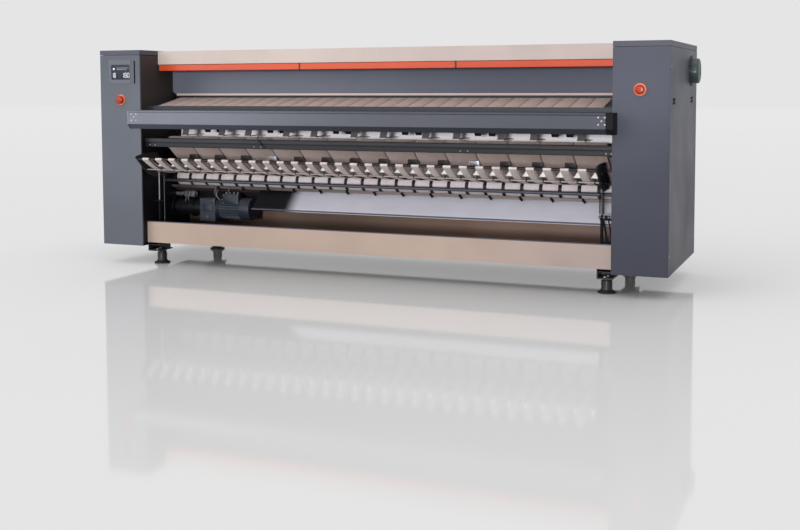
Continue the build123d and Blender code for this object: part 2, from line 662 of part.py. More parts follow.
# ---- drive: gearbox, motor, sprocket shaft and chains ----
gear_left, gear_right, motor_right = -1476, -1343, -1057
gear_depth, gear_height, gear_z = 170, 182, 381
flange_left, flange_r, foot_flange_r, neck_r = -1585, 72, 92, 60
shaft_r = 18
with BuildPart() as gearbox:
    with BuildSketch(side_plane(gear_left)):
        with Locations((motor_y, gear_z)):
            RectangleRounded(gear_depth, gear_height, 14)
    extrude(amount=gear_right - gear_left)
    rod(-inner_half, gear_left, motor_y, motor_z, neck_r)
    rod(-inner_half, -inner_half + 14, motor_y, motor_z, foot_flange_r)
    rod(flange_left, flange_left + 30, motor_y, motor_z, flange_r)
    rod(-inner_half, gear_left + 30, motor_y, motor_z, shaft_r + running_fit, mode=Mode.SUBTRACT)
save(gearbox, "gearbox")

fin_count, fin_reach, fin_wall, motor_body_r = 28, 9, 4, 74
cowl_r, cowl_wall, cowl_length = 84, 4, 76
body_end = motor_right - cowl_length
with BuildPart() as drive_motor:
    ring(gear_right, gear_right + 12, motor_y, motor_z, cowl_r, 30)
    rod(gear_right + 12, body_end, motor_y, motor_z, motor_body_r)
    with BuildSketch(side_plane(gear_right + 28)):
        with Locations((motor_y, motor_z)):
            with PolarLocations(motor_body_r + fin_reach / 2 - 1, fin_count):
                Rectangle(fin_reach, fin_wall)
    extrude(amount=body_end - gear_right - 46)
    ring(body_end - 16, motor_right, motor_y, motor_z, cowl_r, cowl_r - cowl_wall)
    ring(body_end, body_end + 6, motor_y, motor_z, cowl_r - cowl_wall + 1, 20)
    ring(motor_right - cowl_wall, motor_right, motor_y, motor_z, cowl_r - cowl_wall + 1, 34)
    block(-1285, -1150, 396, 456, 430, 506)
save(drive_motor, "drive_motor")

with BuildPart() as motor_sprocket:
    rod(motor_chain_x - wheel_width, gear_left + 29, motor_y, motor_z, shaft_r)
    chain_wheel(motor_chain_x, motor_y, motor_z, *small_chain_wheel)
save(motor_sprocket, "motor_sprocket")

link_half, link_plate = 7, 2     # half height and thickness of a chain's side plates
chain_runs = (
    (motor_chain_x, (motor_y, motor_z, small_chain_wheel[1]), (*drive_wheel[:2], drive_chain_wheel[1])),
    (feed_chain_x, (*feed_rear[:2], feed_chain_wheel[1]), (cylinder_y, cylinder_z, cylinder_chain_wheel[1])),
    (outfeed_chain_x, (*outfeed_rear[:2], small_chain_wheel[1]), (*drive_wheel[:2], small_chain_wheel[1])),
)
with BuildPart() as drive_chains:
    for x, *wheels in chain_runs:
        inner_wheels = [(y, z, r - link_half - belt_play) for y, z, r in wheels]
        plate_starts = (x - wheel_width / 2 - 1 - link_plate, x + wheel_width / 2 + 1)
        belts(plate_starts, link_plate, inner_wheels, 2 * link_half)
save(drive_chains, "drive_chains")

# ---- bearings ----
flange_bearings = [exit_wheel, drive_wheel, rear_wheel, top_wheel, nip_wheel, outfeed_front,
                   outfeed_rear, feed_rear]
with BuildPart() as bearings:
    for low in (-inner_half, inner_half - 22):
        for y, z, _ in flange_bearings:
            ring(low, low + 22, y, z, 36, stub_r + running_fit)
        ring(low, low + 22, *feed_front[:2], 24, 8 + running_fit)
    for low in (-inner_half, inner_half - 14):
        ring(low, low + 14, *comb_wheel[:2], 22, comb_stub_r + running_fit)
    for low in (-wall_out - 48, wall_out):
        with BuildSketch(side_plane(low)):
            with Locations((cylinder_y, cylinder_z)):
                RectangleRounded(190, 150, 20)
                Circle(journal_r + running_fit, mode=Mode.SUBTRACT)
        extrude(amount=48)
save(bearings, "bearings")

# ---- valve block ----
valve_left, valve_right, valve_front, valve_back, valve_low, valve_high = -1642, -1556, 430, 470, 474, 517
fitting_r, fitting_reach = 6, 14
with BuildPart() as valve_block:
    block(valve_left, valve_right, valve_front, valve_back, valve_low, valve_high)
    block(-inner_half, valve_left, valve_front + 12, valve_back - 12, 487, 505)
    for i in range(4):
        with BuildSketch(front_plane(valve_front)):
            with Locations((valve_left + 13 + 20 * i, 496)):
                Circle(fitting_r)
        extrude(amount=fitting_reach)
save(valve_block, "valve_block")

# ---- exhaust fan in the right pillar ----
fan_left, fan_right = 1790, 1960
spigot_r = 75
motor_inner, fan_motor_r = 2030, 83.5
with BuildPart() as fan_housing:
    ring(fan_left, fan_right, fan_y, fan_z, 130, 127)
    rod(fan_left, fan_left + 3, fan_y, fan_z, 127)
    ring(fan_right - 3, fan_right, fan_y, fan_z, 127, 60)
    spigot_plane = Plane(origin=(mid_x + spigot_x, front_y + fan_y, fan_z), x_dir=(1, 0, 0), z_dir=(0, 1, 0))
    with BuildSketch(spigot_plane):
        Circle(spigot_r - 1)
    extrude(amount=pillar_depth + spigot_reach - fan_y)
    with BuildSketch(spigot_plane.offset(pillar_depth - fan_y)):
        Circle(spigot_r)
    extrude(amount=spigot_reach)
    with BuildSketch(spigot_plane):
        Circle(spigot_r - 4)
    extrude(amount=pillar_depth + spigot_reach - fan_y, mode=Mode.SUBTRACT)
    rod(fan_left + 3, fan_right - 3, fan_y, fan_z, 127, mode=Mode.SUBTRACT)
    block(fan_left + 10, fan_left + 30, fan_y - 60, fan_y + 60, fan_z - 260, fan_z - 128)
    block(wall_out, fan_left + 30, fan_y - 60, fan_y + 60, fan_z - 264, fan_z - 260)
save(fan_housing, "fan_housing")

with BuildPart() as fan_impeller:
    rod(fan_left + 20, motor_inner + 60, fan_y, fan_z, 10)
    rod(fan_left + 20, fan_left + 24, fan_y, fan_z, 100)
    with BuildSketch(side_plane(fan_left + 24)):
        with Locations((fan_y, fan_z)):
            with PolarLocations(82, 12):
                Rectangle(34, 3, rotation=35)
    extrude(amount=90)
    ring(fan_left + 112, fan_left + 116, fan_y, fan_z, 100, 66)
save(fan_impeller, "fan_impeller")

with BuildPart() as fan_motor:
    ring(outer_half, outer_half + 8, fan_y, fan_z, 102, 83)
    rod(motor_inner, outer_half + fan_reach, fan_y, fan_z, fan_motor_r)
    rod(motor_inner, motor_inner + 70, fan_y, fan_z, 10 + running_fit, mode=Mode.SUBTRACT)
    fillet(fan_motor.faces().sort_by(Axis.X)[-1].edges(), radius=6)
save(fan_motor, "fan_motor")

# ---- operator display and emergency stops ----
display_x, display_z, display_width, display_height = -1903.5, 1421, 195, 176
light_strip_x, light_strip_low, light_strip_high = -1772, 1333, 1501
with BuildPart() as display_unit:
    with BuildSketch(front_plane(0)):
        with Locations((display_x, display_z)):
            RectangleRounded(display_width, display_height, 6)
    extrude(amount=3)
    block(light_strip_x - 5, light_strip_x + 5, -1.5, 0, light_strip_low, light_strip_high)
save(display_unit, "display_unit")

stop_places = ((-1895, 1217), (1895, 1283))
plate_r, collar_r, collar_reach, stop_stem, stop_travel = 38, 17, 12, 9, 5
stem_inside, head_r, head_depth = 6, 30, 14
with BuildPart() as stop_plates:
    for x, z in stop_places:
        with BuildSketch(front_plane(0)):
            with Locations((x, z)):
                Circle(plate_r)
        extrude(amount=3)
        with BuildSketch(front_plane(0)):
            with Locations((x, z)):
                Circle(collar_r)
        extrude(amount=collar_reach)
        with BuildSketch(front_plane(0)):
            with Locations((x, z)):
                Circle(stop_stem + running_fit)
        extrude(amount=collar_reach, mode=Mode.SUBTRACT)
save(stop_plates, "stop_plates")

for name, (x, z) in zip(("stop_button_left", "stop_button_right"), stop_places):
    with BuildPart() as stop_button:
        with BuildSketch(front_plane(-collar_reach + stem_inside)):
            with Locations((x, z)):
                Circle(stop_stem)
        extrude(amount=stem_inside + stop_travel + 1)
        with BuildSketch(front_plane(-collar_reach - stop_travel - 1)):
            with Locations((x, z)):
                Circle(head_r)
        extrude(amount=head_depth)
        fillet(stop_button.faces().sort_by(Axis.Y)[0].edges(), radius=8)
    save(stop_button, name)

# ---- screws with round heads ----
small_head, cover_head = 6, 7          # radii of the heads
beam_screws = ((-20, 1116), (20, 1116), (0, 1094), (-20, 1072), (20, 1072))
lower_screws = (-1690, -1645, -815, -760, 725, 775, 1680, 1712)
lower_screw_z = 886
base_bolts = ((1670, -60), (1679, -10), (-1655, -60), (-1636, -10))
bolt_radius, bolt_height = 9, 6
with BuildPart() as screws:
    for middle in (beam_left + 42, beam_right - 24):
        with BuildSketch(front_plane(beam_front)):
            with Locations([(middle + dx, z) for dx, z in beam_screws]):
                Circle(small_head)
        extrude(amount=screw_head)
    with BuildSketch(front_plane(lower_front)):
        with Locations([(x, lower_screw_z) for x in lower_screws]):
            Circle(small_head)
    extrude(amount=screw_head)
    for x, y in base_bolts:
        for foot_y in (foot_front, foot_back):
            with BuildSketch(floor_plane(foot_plate_high)):
                with Locations((x, foot_y + y)):
                    RegularPolygon(bolt_radius, 6)
            extrude(amount=bolt_height)
    for low in (-outer_half - screw_head, outer_half):
        for y, z in cover_screws:
            rod(low, low + screw_head, y, z, cover_head)
save(screws, "screws")

# ---- service inlets on the left pillar's back ----
inlet_places = ((-1960, 420, 21), (-1880, 420, 14), (-1800, 420, 10))
with BuildPart() as service_inlets:
    for x, z, radius in inlet_places:
        with BuildSketch(front_plane(pillar_depth)):
            with Locations((x, z)):
                RegularPolygon(radius + 8, 6)
        extrude(amount=-12)
        with BuildSketch(front_plane(pillar_depth + 12)):
            with Locations((x, z)):
                Circle(radius)
                Circle(radius - 4, mode=Mode.SUBTRACT)
        extrude(amount=-23)
save(service_inlets, "service_inlets")
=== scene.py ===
# %% [markdown]
# # A flatwork ironer, dressed for the camera
# The exact solids of the machine come in as a fixed frame: every panel, roller and bracket is already
# in its place. This notebook gives each of them its finish, and remakes what a solid can't show, such
# as woven belts, screw heads and cooling fins. Everything is in metres, with x along the cylinder,
# y from the operator into the machine and z up from the floor.

# %% Load the frame
from math import radians

import bpy
import numpy as np
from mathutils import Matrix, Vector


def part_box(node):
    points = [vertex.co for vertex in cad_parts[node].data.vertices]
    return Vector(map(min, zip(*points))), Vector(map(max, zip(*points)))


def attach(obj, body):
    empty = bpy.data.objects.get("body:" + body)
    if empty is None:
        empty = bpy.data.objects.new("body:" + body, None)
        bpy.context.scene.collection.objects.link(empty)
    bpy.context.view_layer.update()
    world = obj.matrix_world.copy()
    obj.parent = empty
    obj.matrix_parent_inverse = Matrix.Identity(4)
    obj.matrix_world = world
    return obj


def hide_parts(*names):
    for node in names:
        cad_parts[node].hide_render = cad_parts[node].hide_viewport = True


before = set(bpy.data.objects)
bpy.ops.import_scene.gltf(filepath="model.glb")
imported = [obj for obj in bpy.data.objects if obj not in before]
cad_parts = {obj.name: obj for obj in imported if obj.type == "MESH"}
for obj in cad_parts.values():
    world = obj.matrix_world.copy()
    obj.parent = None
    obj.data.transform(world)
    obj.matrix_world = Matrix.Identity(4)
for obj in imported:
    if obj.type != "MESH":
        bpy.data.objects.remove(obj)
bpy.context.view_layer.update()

# %% [markdown]
# Places on the machine are easiest to read from its own middle: x from the middle between the two
# pillars, y back from the pillars' front, z from the floor, in millimetres as on a drawing. The frame
# is centred on the whole box instead, which the fan motor and the spigot push off to one side. The front
# panels tell how far, so one small function turns drawing places into scene places.

# %% Places on the machine
panel_low, panel_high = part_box("pillar_front_panels")
middle = np.array([(panel_low.x + panel_high.x) / 2, panel_low.y, 0.0])
mm = 0.001


def place(x, y, z):
    """A place on the drawing, in millimetres, as a point of the scene."""
    return middle + mm * np.stack(np.broadcast_arrays(x, y, z), -1).astype(float)


def moves(points):
    """Places on the drawing as moves in the scene, for copies of a shape made about its origin."""
    return np.array(points, float) * mm


pillar_out, pillar_in, side_wall = 2075, 1727.5, 1726
print("pillars meet the drawing's front at y =", round(float(middle[1]), 4))

# %% [markdown]
# The camera stands to the right of the machine at breast height and looks a little to the left and
# down. Its place was worked out from the straight edges of the machine, whose real sizes are known. A
# small vertical shift of the lens sets the picture lower without tilting the upright edges.

# %% Camera
camera_data = bpy.data.cameras.new("camera")
camera_data.sensor_width = 36
camera_data.lens = 50.03
camera_data.shift_y = -0.125
camera = bpy.data.objects.new("camera", camera_data)
camera.location = (3.11105, -7.27715, 1.3016)
camera.rotation_euler = [radians(angle) for angle in (85.998, 0.1905, 22.558)]
bpy.context.collection.objects.link(camera)
bpy.context.scene.camera = camera
bpy.context.scene.view_settings.view_transform = "Standard"
print("camera at", tuple(round(v, 3) for v in camera.location))

# %% [markdown]
# Shader trees are easier to read when one line makes one node. The first helper makes a node, sets its
# options and fills each socket with a plain value or a link from another node. The others stand for what
# comes up again and again: a sum of two values, a ramp between two levels and a blend of two colours.


# %% Helpers for shader trees
def linear(red, green, blue):
    """A display colour of 0 to 255 as linear light: the sRGB curve undone, with full cover."""
    value = np.array([red, green, blue]) / 255
    light = np.where(value <= 0.04045, value / 12.92, ((value + 0.055) / 1.055) ** 2.4)
    return (*light.tolist(), 1.0)


def add(tree, kind, sockets=None, **options):
    """Add a node and give its outputs: options are its settings, sockets its values or links."""
    made = tree.nodes.new("ShaderNode" + kind)
    for name, value in options.items():
        setattr(made, name, value)
    for name, value in (sockets or {}).items():
        if isinstance(value, bpy.types.NodeSocket):
            tree.links.new(value, made.inputs[name])
        else:
            made.inputs[name].default_value = value
    return made.outputs


def calc(tree, operation, first, second=0.5, kind="Math"):
    """The result of one sum, named by its operation, such as MULTIPLY."""
    return add(tree, kind, {0: first, 1: second}, operation=operation)[0]


def ramp(tree, value, start, end, **options):
    """A value brought to 0 at the start level and to 1 at the end level."""
    return add(tree, "MapRange", {"Value": value, "From Min": start, "From Max": end}, **options)[0]


def blend(tree, mask, first, second, **options):
    """Two colours mixed by a mask."""
    return add(tree, "Mix", {"Factor": mask, 6: first, 7: second}, data_type="RGBA", **options)[2]


def new_group(name, inputs, outputs):
    """Start a node group: inputs are rows of name, socket kind and start value, outputs of the first two."""
    tree = bpy.data.node_groups.new(name, "ShaderNodeTree")
    for label, kind, start in inputs:
        socket = tree.interface.new_socket(label, in_out="INPUT", socket_type="NodeSocket" + kind)
        socket.default_value = start
    for label, kind in outputs:
        tree.interface.new_socket(label, in_out="OUTPUT", socket_type="NodeSocket" + kind)
    return tree, tree.nodes.new("NodeGroupInput").outputs, tree.nodes.new("NodeGroupOutput").inputs


def use(tree, group, **sockets):
    """Place a finished group in a tree and fill its sockets."""
    return add(tree, "Group", sockets, node_tree=group)


print("a display grey of 128 is", round(linear(128, 128, 128)[0], 3), "of white as light")


# %% [markdown]
# The studio is a pale floor without an end and an even pale sky. The sky that the camera and the glossy
# surfaces see is brighter than the light it gives: Light Path tells the two apart. The smooth floor
# mirrors the machine, most of all at a flat angle. The light that bounces off it is dimmer than it looks,
# or the undersides of the machine would be too pale.

# %% Sky and floor
backdrop = linear(229, 229, 229)
world = bpy.data.worlds.new("sky")
world.use_nodes = True
bpy.context.scene.world = world
sky = world.node_tree
sky.nodes.clear()
rays = add(sky, "LightPath")
mirrored = calc(sky, "MAXIMUM", rays["Is Glossy Ray"], rays["Is Transmission Ray"])
seen = calc(sky, "MAXIMUM", rays["Is Camera Ray"], mirrored)
shown = add(sky, "Background", {"Color": backdrop, "Strength": 1.0})[0]
lighting = add(sky, "Background", {"Color": (1, 1, 1, 1), "Strength": 0.60})[0]
add(sky, "OutputWorld", {"Surface": add(sky, "MixShader", {0: seen, 1: lighting, 2: shown})[0]})

reach, floor_drop = 60, 0.0005
floor_mesh = bpy.data.meshes.new("floor")
floor_corners = [(x * reach, y * reach, -floor_drop) for x, y in ((-1, -1), (1, -1), (1, 1), (-1, 1))]
floor_mesh.from_pydata(floor_corners, [], [(0, 1, 2, 3)])
floor = bpy.data.objects.new("floor", floor_mesh)
bpy.context.collection.objects.link(floor)
floor_paint = bpy.data.materials.new("floor_paint")
floor_paint.use_nodes = True
floor_tree = floor_paint.node_tree
floor_shader = floor_tree.nodes["Principled BSDF"].inputs
floor_seen, floor_bounce = (0.905, 0.905, 0.905, 1.0), (0.20, 0.20, 0.21, 1.0)
bounced = add(floor_tree, "LightPath")["Is Diffuse Ray"]
floor_tree.links.new(blend(floor_tree, bounced, floor_seen, floor_bounce), floor_shader["Base Color"])
floor_shader["Roughness"].default_value = 0.06
floor_shader["IOR"].default_value = 1.33
floor_mesh.materials.append(floor_paint)
print("floor:", 2 * reach, "m square")

# %% [markdown]
# A lamp close to the floor would leave a bright pool on it, and the backdrop would no longer be even. So
# the lamps are suns with a wide disc: soft like a large studio lamp, but as strong everywhere. One on the
# left makes the left pillar lighter than the right one, one overhead is softer still, and one low before
# the machine reaches in under the beam, where the belts are.


# %% Lamps
def lamp(name, come_from, strength, width):
    """A sun that shines from a direction, with a disc some degrees wide."""
    data = bpy.data.lights.new(name, "SUN")
    data.energy, data.angle = strength, radians(width)
    made = bpy.data.objects.new(name, data)
    made.location = come_from
    made.rotation_euler = made.location.to_track_quat("Z", "Y").to_euler()
    bpy.context.collection.objects.link(made)


lamp("key_left", (-5.0, -6.5, 2.2), 0.90, 45)
lamp("top_soft", (0.0, -3.0, 8.0), 0.60, 60)
lamp("front_low", (1.0, -8.0, 0.12), 2.30, 10)

# %% [markdown]
# Nothing on a real machine is one even colour. Paint is a little mottled, felt is streaked, steel is
# brushed. All of that is noise, stretched along one direction and cut off at a low and a high level. It
# has to be told where it is: on object coordinates for hard parts, on the belts' own map for cloth.

# %% Mottle: stretched noise between two levels
mottle, given, result = new_group(
    "mottle",
    [("Vector", "Vector", (0, 0, 0)), ("Stretch", "Vector", (1, 1, 1)), ("Scale", "Float", 10.0),
     ("Low", "Float", 0.3), ("High", "Float", 0.7)],
    [("Value", "Float")])
stretched = calc(mottle, "MULTIPLY", given["Vector"], given["Stretch"], "VectorMath")
clouds = add(mottle, "TexNoise", {"Vector": stretched, "Scale": given["Scale"], "Detail": 3.0})[0]
mottle.links.new(ramp(mottle, clouds, given["Low"], given["High"]), result["Value"])
print("group:", mottle.name)

# %% [markdown]
# Sheet metal and castings have no sharp edges: a bend or a radius of a millimetre or two catches the
# light, and paint wears there first. The Bevel node finds that radius while rendering, without a single
# extra face. Where its normal departs from the face's own, there is an edge, and that is the wear mask.

# %% Soft edges: a rounded normal and a mask of the edges
soft_edges, given, result = new_group("soft_edges", [("Radius", "Float", 0.002)],
                                      [("Edge", "Float"), ("Normal", "Vector")])
rounded = add(soft_edges, "Bevel", {"Radius": given["Radius"]}, samples=4)[0]
face_normal = add(soft_edges, "NewGeometry")["True Normal"]
alike = add(soft_edges, "VectorMath", {0: rounded, 1: face_normal}, operation="DOT_PRODUCT")["Value"]
soft_edges.links.new(ramp(soft_edges, alike, 0.995, 0.8), result["Edge"])
soft_edges.links.new(rounded, result["Normal"])
print("group:", soft_edges.name)

# %% [markdown]
# Lint and dust settle on what faces up. The upright part of the surface's normal is the mask, broken up
# by mottle so that the film is uneven.

# %% Dust: a film on whatever faces up
dust, given, result = new_group("dust", [("Vector", "Vector", (0, 0, 0)), ("Amount", "Float", 0.3)],
                                [("Mask", "Float")])
upright = add(dust, "SeparateXYZ", {0: add(dust, "NewGeometry")["Normal"]})["Z"]
uneven = use(dust, mottle, Vector=given["Vector"], Scale=9.0, Low=0.25, High=0.8)["Value"]
film = calc(dust, "MULTIPLY", ramp(dust, upright, 0.35, 1.0), uneven)
dust.links.new(calc(dust, "MULTIPLY", film, given["Amount"]), result["Mask"])
print("group:", dust.name)

# %% [markdown]
# The belts are woven or needled cloth. One sine across the belt and one along it stand for the two sets
# of threads. Their product is the height of the cloth. The Shade output darkens the hollows between the
# threads and lightens their tops: painted shade and a little painted light.

# %% Weave: two crossed sets of threads on a belt's own map
weave, given, result = new_group("weave", [("Vector", "Vector", (0, 0, 0)), ("Pitch", "Float", 0.002)],
                                 [("Height", "Float"), ("Shade", "Float")])
turns = calc(weave, "DIVIDE", 2 * np.pi, given["Pitch"])
spot = add(weave, "SeparateXYZ", {0: given["Vector"]})
waves = [calc(weave, "SINE", calc(weave, "MULTIPLY", spot[axis], turns)) for axis in ("X", "Y")]
crossed = calc(weave, "MULTIPLY", *waves)
weave.links.new(crossed, result["Height"])
weave.links.new(ramp(weave, crossed, -1.0, 1.0), result["Shade"])
print("group:", weave.name)

# %% [markdown]
# ## Finishes
# Powder coat covers most of the machine. It is plain paint with a very fine orange-peel surface, a cloud
# of slightly lighter and darker patches, pale dust on top and a rubbed line along the edges. One function
# makes every painted or moulded finish, because they differ only in colour, gloss and how worn they are.

# %% Painted and moulded finishes
finish = {}


def start_material(name):
    """A new finish: its tree, its shader's inputs and the object coordinates and map."""
    finish[name] = bpy.data.materials.new(name)
    finish[name].use_nodes = True
    tree = finish[name].node_tree
    return tree, tree.nodes["Principled BSDF"].inputs, add(tree, "TexCoord")


def shaded(colour, factor):
    """The same colour, lighter or darker by a factor."""
    return (*(min(part * factor, 1.0) for part in colour[:3]), 1.0)


def roughen(tree, shader, value, low, high):
    """Let the roughness follow a value between two limits."""
    tree.links.new(add(tree, "MapRange", {"Value": value, "To Min": low, "To Max": high})[0],
                   shader["Roughness"])


def emboss(tree, shader, height, depth, **normal):
    """Let a height move the surface's normal, by a depth in metres."""
    bump = add(tree, "Bump", {"Height": height, "Distance": depth, "Strength": 1.0, **normal})[0]
    tree.links.new(bump, shader["Normal"])


def painted(name, colour, rough=0.42, grain=700.0, relief=0.00006, patches=0.06, dusty=0.25, worn=0.35,
            edge_radius=0.0018, coat=0.0, specular=0.35):
    """Paint or moulded plastic: mottled colour, fine grain, dust on top and rubbed edges."""
    tree, shader, where = start_material(name)
    colour = linear(*colour)
    cloud = use(tree, mottle, Vector=where["Object"], Scale=2.6)["Value"]
    speck = use(tree, mottle, Vector=where["Object"], Scale=grain, Low=0.2, High=0.8)["Value"]
    edges = use(tree, soft_edges, Radius=edge_radius)
    film = use(tree, dust, Vector=where["Object"], Amount=dusty)["Mask"]
    scuffed = use(tree, mottle, Vector=where["Object"], Scale=38.0, Low=0.42, High=0.62)["Value"]
    rubbed = calc(tree, "MULTIPLY", calc(tree, "MULTIPLY", edges["Edge"], scuffed), worn)
    base = blend(tree, cloud, shaded(colour, 1 - patches), shaded(colour, 1 + patches))
    base = blend(tree, film, base, linear(176, 170, 162))
    base = blend(tree, rubbed, base, shaded(colour, 2.2))
    tree.links.new(base, shader["Base Color"])
    roughen(tree, shader, cloud, rough - 0.05, rough + 0.07)
    emboss(tree, shader, speck, relief, Normal=edges["Normal"])
    shader["Coat Weight"].default_value = coat
    shader["Coat Roughness"].default_value = 0.12
    shader["Specular IOR Level"].default_value = specular


painted("pillar_paint", (103, 107, 116), rough=0.40, specular=0.12)
painted("cap_paint", (87, 87, 99), specular=0.15)
painted("cream_paint", (194, 180, 173), rough=0.38, dusty=0.10, worn=0.2)
painted("tray_paint", (175, 154, 142), rough=0.36, dusty=0.15, worn=0.3)
painted("guide_paint", (122, 109, 108), rough=0.40, dusty=0.2)
painted("guard_paint", (99, 103, 117), rough=0.40, dusty=0.05)
painted("wall_paint", (66, 58, 57), rough=0.5, specular=0.2)
painted("black_paint", (38, 39, 44), rough=0.36, dusty=0.3)
painted("lower_beam_paint", (30, 33, 42), rough=0.36, dusty=0.10)
painted("orange_plastic", (200, 72, 33), rough=0.34, grain=260.0, dusty=0.08, worn=0.25, coat=0.25)
painted("safety_orange", (232, 118, 70), rough=0.30, dusty=0.05, worn=0.1)
painted("stop_red", (158, 38, 14), rough=0.28, relief=0.00001, dusty=0.0, worn=0.0, coat=0.1)
painted("screen_glass", (50, 53, 62), rough=0.30, relief=0.0, dusty=0.0, worn=0.0, patches=0.02,
        specular=0.15)
painted("screen_figures", (236, 238, 242), rough=0.3, relief=0.0, dusty=0.0, worn=0.0, patches=0.02)
painted("bezel_plastic", (96, 98, 110), grain=420.0, dusty=0.1, worn=0.2)
painted("fan_paint", (50, 66, 64), grain=320.0, relief=0.0002, dusty=0.3)
painted("black_plastic", (30, 31, 34), rough=0.45, grain=420.0, dusty=0.2)
painted("beam_black", (14, 15, 20), rough=0.55, dusty=0.0, worn=0.2, specular=0.12)
painted("tab_plastic", (33, 29, 31), rough=0.5, grain=420.0, dusty=0.08)
painted("white_plastic", (236, 234, 232), rough=0.40, grain=300.0, dusty=0.0, worn=0.0, patches=0.03)
painted("cast_paint", (44, 50, 62), rough=0.48, grain=260.0, relief=0.0003, dusty=0.4, worn=0.5,
        edge_radius=0.003)
painted("motor_paint", (36, 43, 55), rough=0.44, grain=320.0, relief=0.0002, dusty=0.35, worn=0.5)
print(len(finish), "painted and moulded finishes")

# %% [markdown]
# Metal differs by how it was worked. Rolled and brushed sheet has long fine lines one way, a turned roller
# has rings, zinc plating has soft crystals. All are mottle again, squeezed hard across the lines: it moves
# the roughness, tints the colour a little and raises the faintest relief.

# %% Metal finishes
along_x, rings_about_x, along_z, even = (0.01, 1, 1), (1, 0.01, 0.01), (1, 1, 0.01), (1, 1, 1)


def metal(name, colour, rough, lines, scale=900.0, spread=0.10, stains=0.08, dusty=0.1, metallic=1.0):
    """Bare metal: fine lines one way, soft stains, a little dust and softened edges."""
    tree, shader, where = start_material(name)
    colour = linear(*colour)
    line = use(tree, mottle, Vector=where["Object"], Stretch=lines, Scale=scale, Low=0.25, High=0.75)["Value"]
    cloud = use(tree, mottle, Vector=where["Object"], Scale=7.0)["Value"]
    edges = use(tree, soft_edges, Radius=0.0012)
    film = use(tree, dust, Vector=where["Object"], Amount=dusty)["Mask"]
    base = blend(tree, line, shaded(colour, 0.93), shaded(colour, 1.05))
    base = blend(tree, cloud, base, shaded(colour, 1 - stains))
    base = blend(tree, film, base, linear(150, 145, 138))
    tree.links.new(base, shader["Base Color"])
    roughen(tree, shader, line, rough, rough + spread)
    emboss(tree, shader, line, 0.00002, Normal=edges["Normal"])
    shader["Metallic"].default_value = metallic


metal("beam_aluminium", (110, 113, 123), 0.30, along_x, metallic=0.2)
# The heated cylinder is polished steel, but this near-white, non-metallic finish is a painted reflection of
# the bright room before it.
metal("cylinder_steel", (250, 246, 252), 0.42, rings_about_x, scale=500.0, metallic=0.0, dusty=0.0,
      stains=0.02)
metal("slide_steel", (212, 212, 224), 0.32, along_x, spread=0.12, metallic=0.1, dusty=0.0)
metal("dark_steel", (84, 85, 96), 0.30, along_x, metallic=0.6)
metal("dark_sheet", (38, 42, 51), 0.34, along_x, metallic=0.3, spread=0.12)
metal("black_steel", (34, 34, 38), 0.36, rings_about_x, metallic=0.5, dusty=0.05)
metal("post_steel", (118, 114, 118), 0.42, along_z, metallic=0.3)
metal("plain_steel", (178, 178, 182), 0.28, rings_about_x, scale=700.0)
# The comb bars' brownish grey is a painted reflection of the belt cloth round them.
metal("comb_bar_steel", (168, 156, 152), 0.42, along_x, metallic=0.2)
metal("bolt_steel", (104, 105, 110), 0.34, even, scale=90.0, metallic=0.6)
metal("scraper_steel", (205, 196, 194), 0.50, along_x, metallic=0.1)
metal("lift_steel", (150, 152, 158), 0.35, even, metallic=0.2)
metal("zinc_steel", (150, 152, 156), 0.40, even, scale=60.0, spread=0.16, stains=0.2)
metal("chain_steel", (92, 88, 84), 0.42, even, scale=120.0, stains=0.3)
metal("valve_body", (150, 152, 158), 0.34, along_z, metallic=0.8)
metal("foot_steel", (44, 45, 48), 0.38, even, scale=90.0, metallic=0.4)
metal("pipe_steel", (176, 178, 180), 0.30, even, scale=200.0, metallic=0.6)
print(len(finish), "finishes with the metals")

# %% [markdown]
# Belt cloth is matt and soft: the weave gives the height, long streaks along the run show where linen
# and wax have rubbed it, and a little sheen stands in for the fibres at a flat angle. It reads the belt's
# own map, in metres across and along, so the threads go round the rollers with the belt.


# %% Cloth finishes
def cloth(name, colour, dark, pitch, streak_scale=30.0, streaks=0.5, sheen=0.25):
    """Woven belt cloth: crossed threads, streaks along the run and scattered darker spots."""
    tree, shader, where = start_material(name)
    colour, dark = linear(*colour), linear(*dark)
    threads = use(tree, weave, Vector=where["UV"], Pitch=pitch)
    streak = use(tree, mottle, Vector=where["UV"], Stretch=(4, 0.12, 1), Scale=streak_scale)["Value"]
    spots = use(tree, mottle, Vector=where["Object"], Scale=16.0, Low=0.45, High=0.75)["Value"]
    # painted shade in the hollows of the weave and a little painted light on the threads' tops
    base = blend(tree, threads["Shade"], shaded(colour, 0.86), shaded(colour, 1.06))
    base = blend(tree, calc(tree, "MULTIPLY", streak, streaks), base, dark)
    base = blend(tree, calc(tree, "MULTIPLY", spots, 0.25), base, shaded(dark, 0.8))
    tree.links.new(base, shader["Base Color"])
    emboss(tree, shader, threads["Height"], pitch * 0.12)
    shader["Roughness"].default_value = 0.85
    shader["Sheen Weight"].default_value = sheen


cloth("feed_cloth", (174, 141, 129), (156, 132, 122), 0.0022)
cloth("outfeed_cloth", (238, 226, 229), (204, 190, 192), 0.0022)
cloth("comb_cloth", (236, 221, 218), (150, 134, 128), 0.0018, streak_scale=60.0, streaks=0.45)
cloth("ironing_felt", (193, 166, 158), (150, 128, 114), 0.004, streaks=0.4, sheen=0.4)
print(len(finish), "finishes in all")

# %% [markdown]
# Long parts aren't the same tone from end to end. Most fades here are painted shade: darker to the right,
# toward the floor, inside the machine and under lips, where less light falls. The lift rods' fade leaves the
# left rod light and the right ones black, and the comb bars' fade makes the nose bar black.
# A fade multiplies a finish by a tint that comes in smoothly along a direction: the dot product
# of the object coordinates with it tells how far along a place is. Directions are X, Y, Z or a vector.

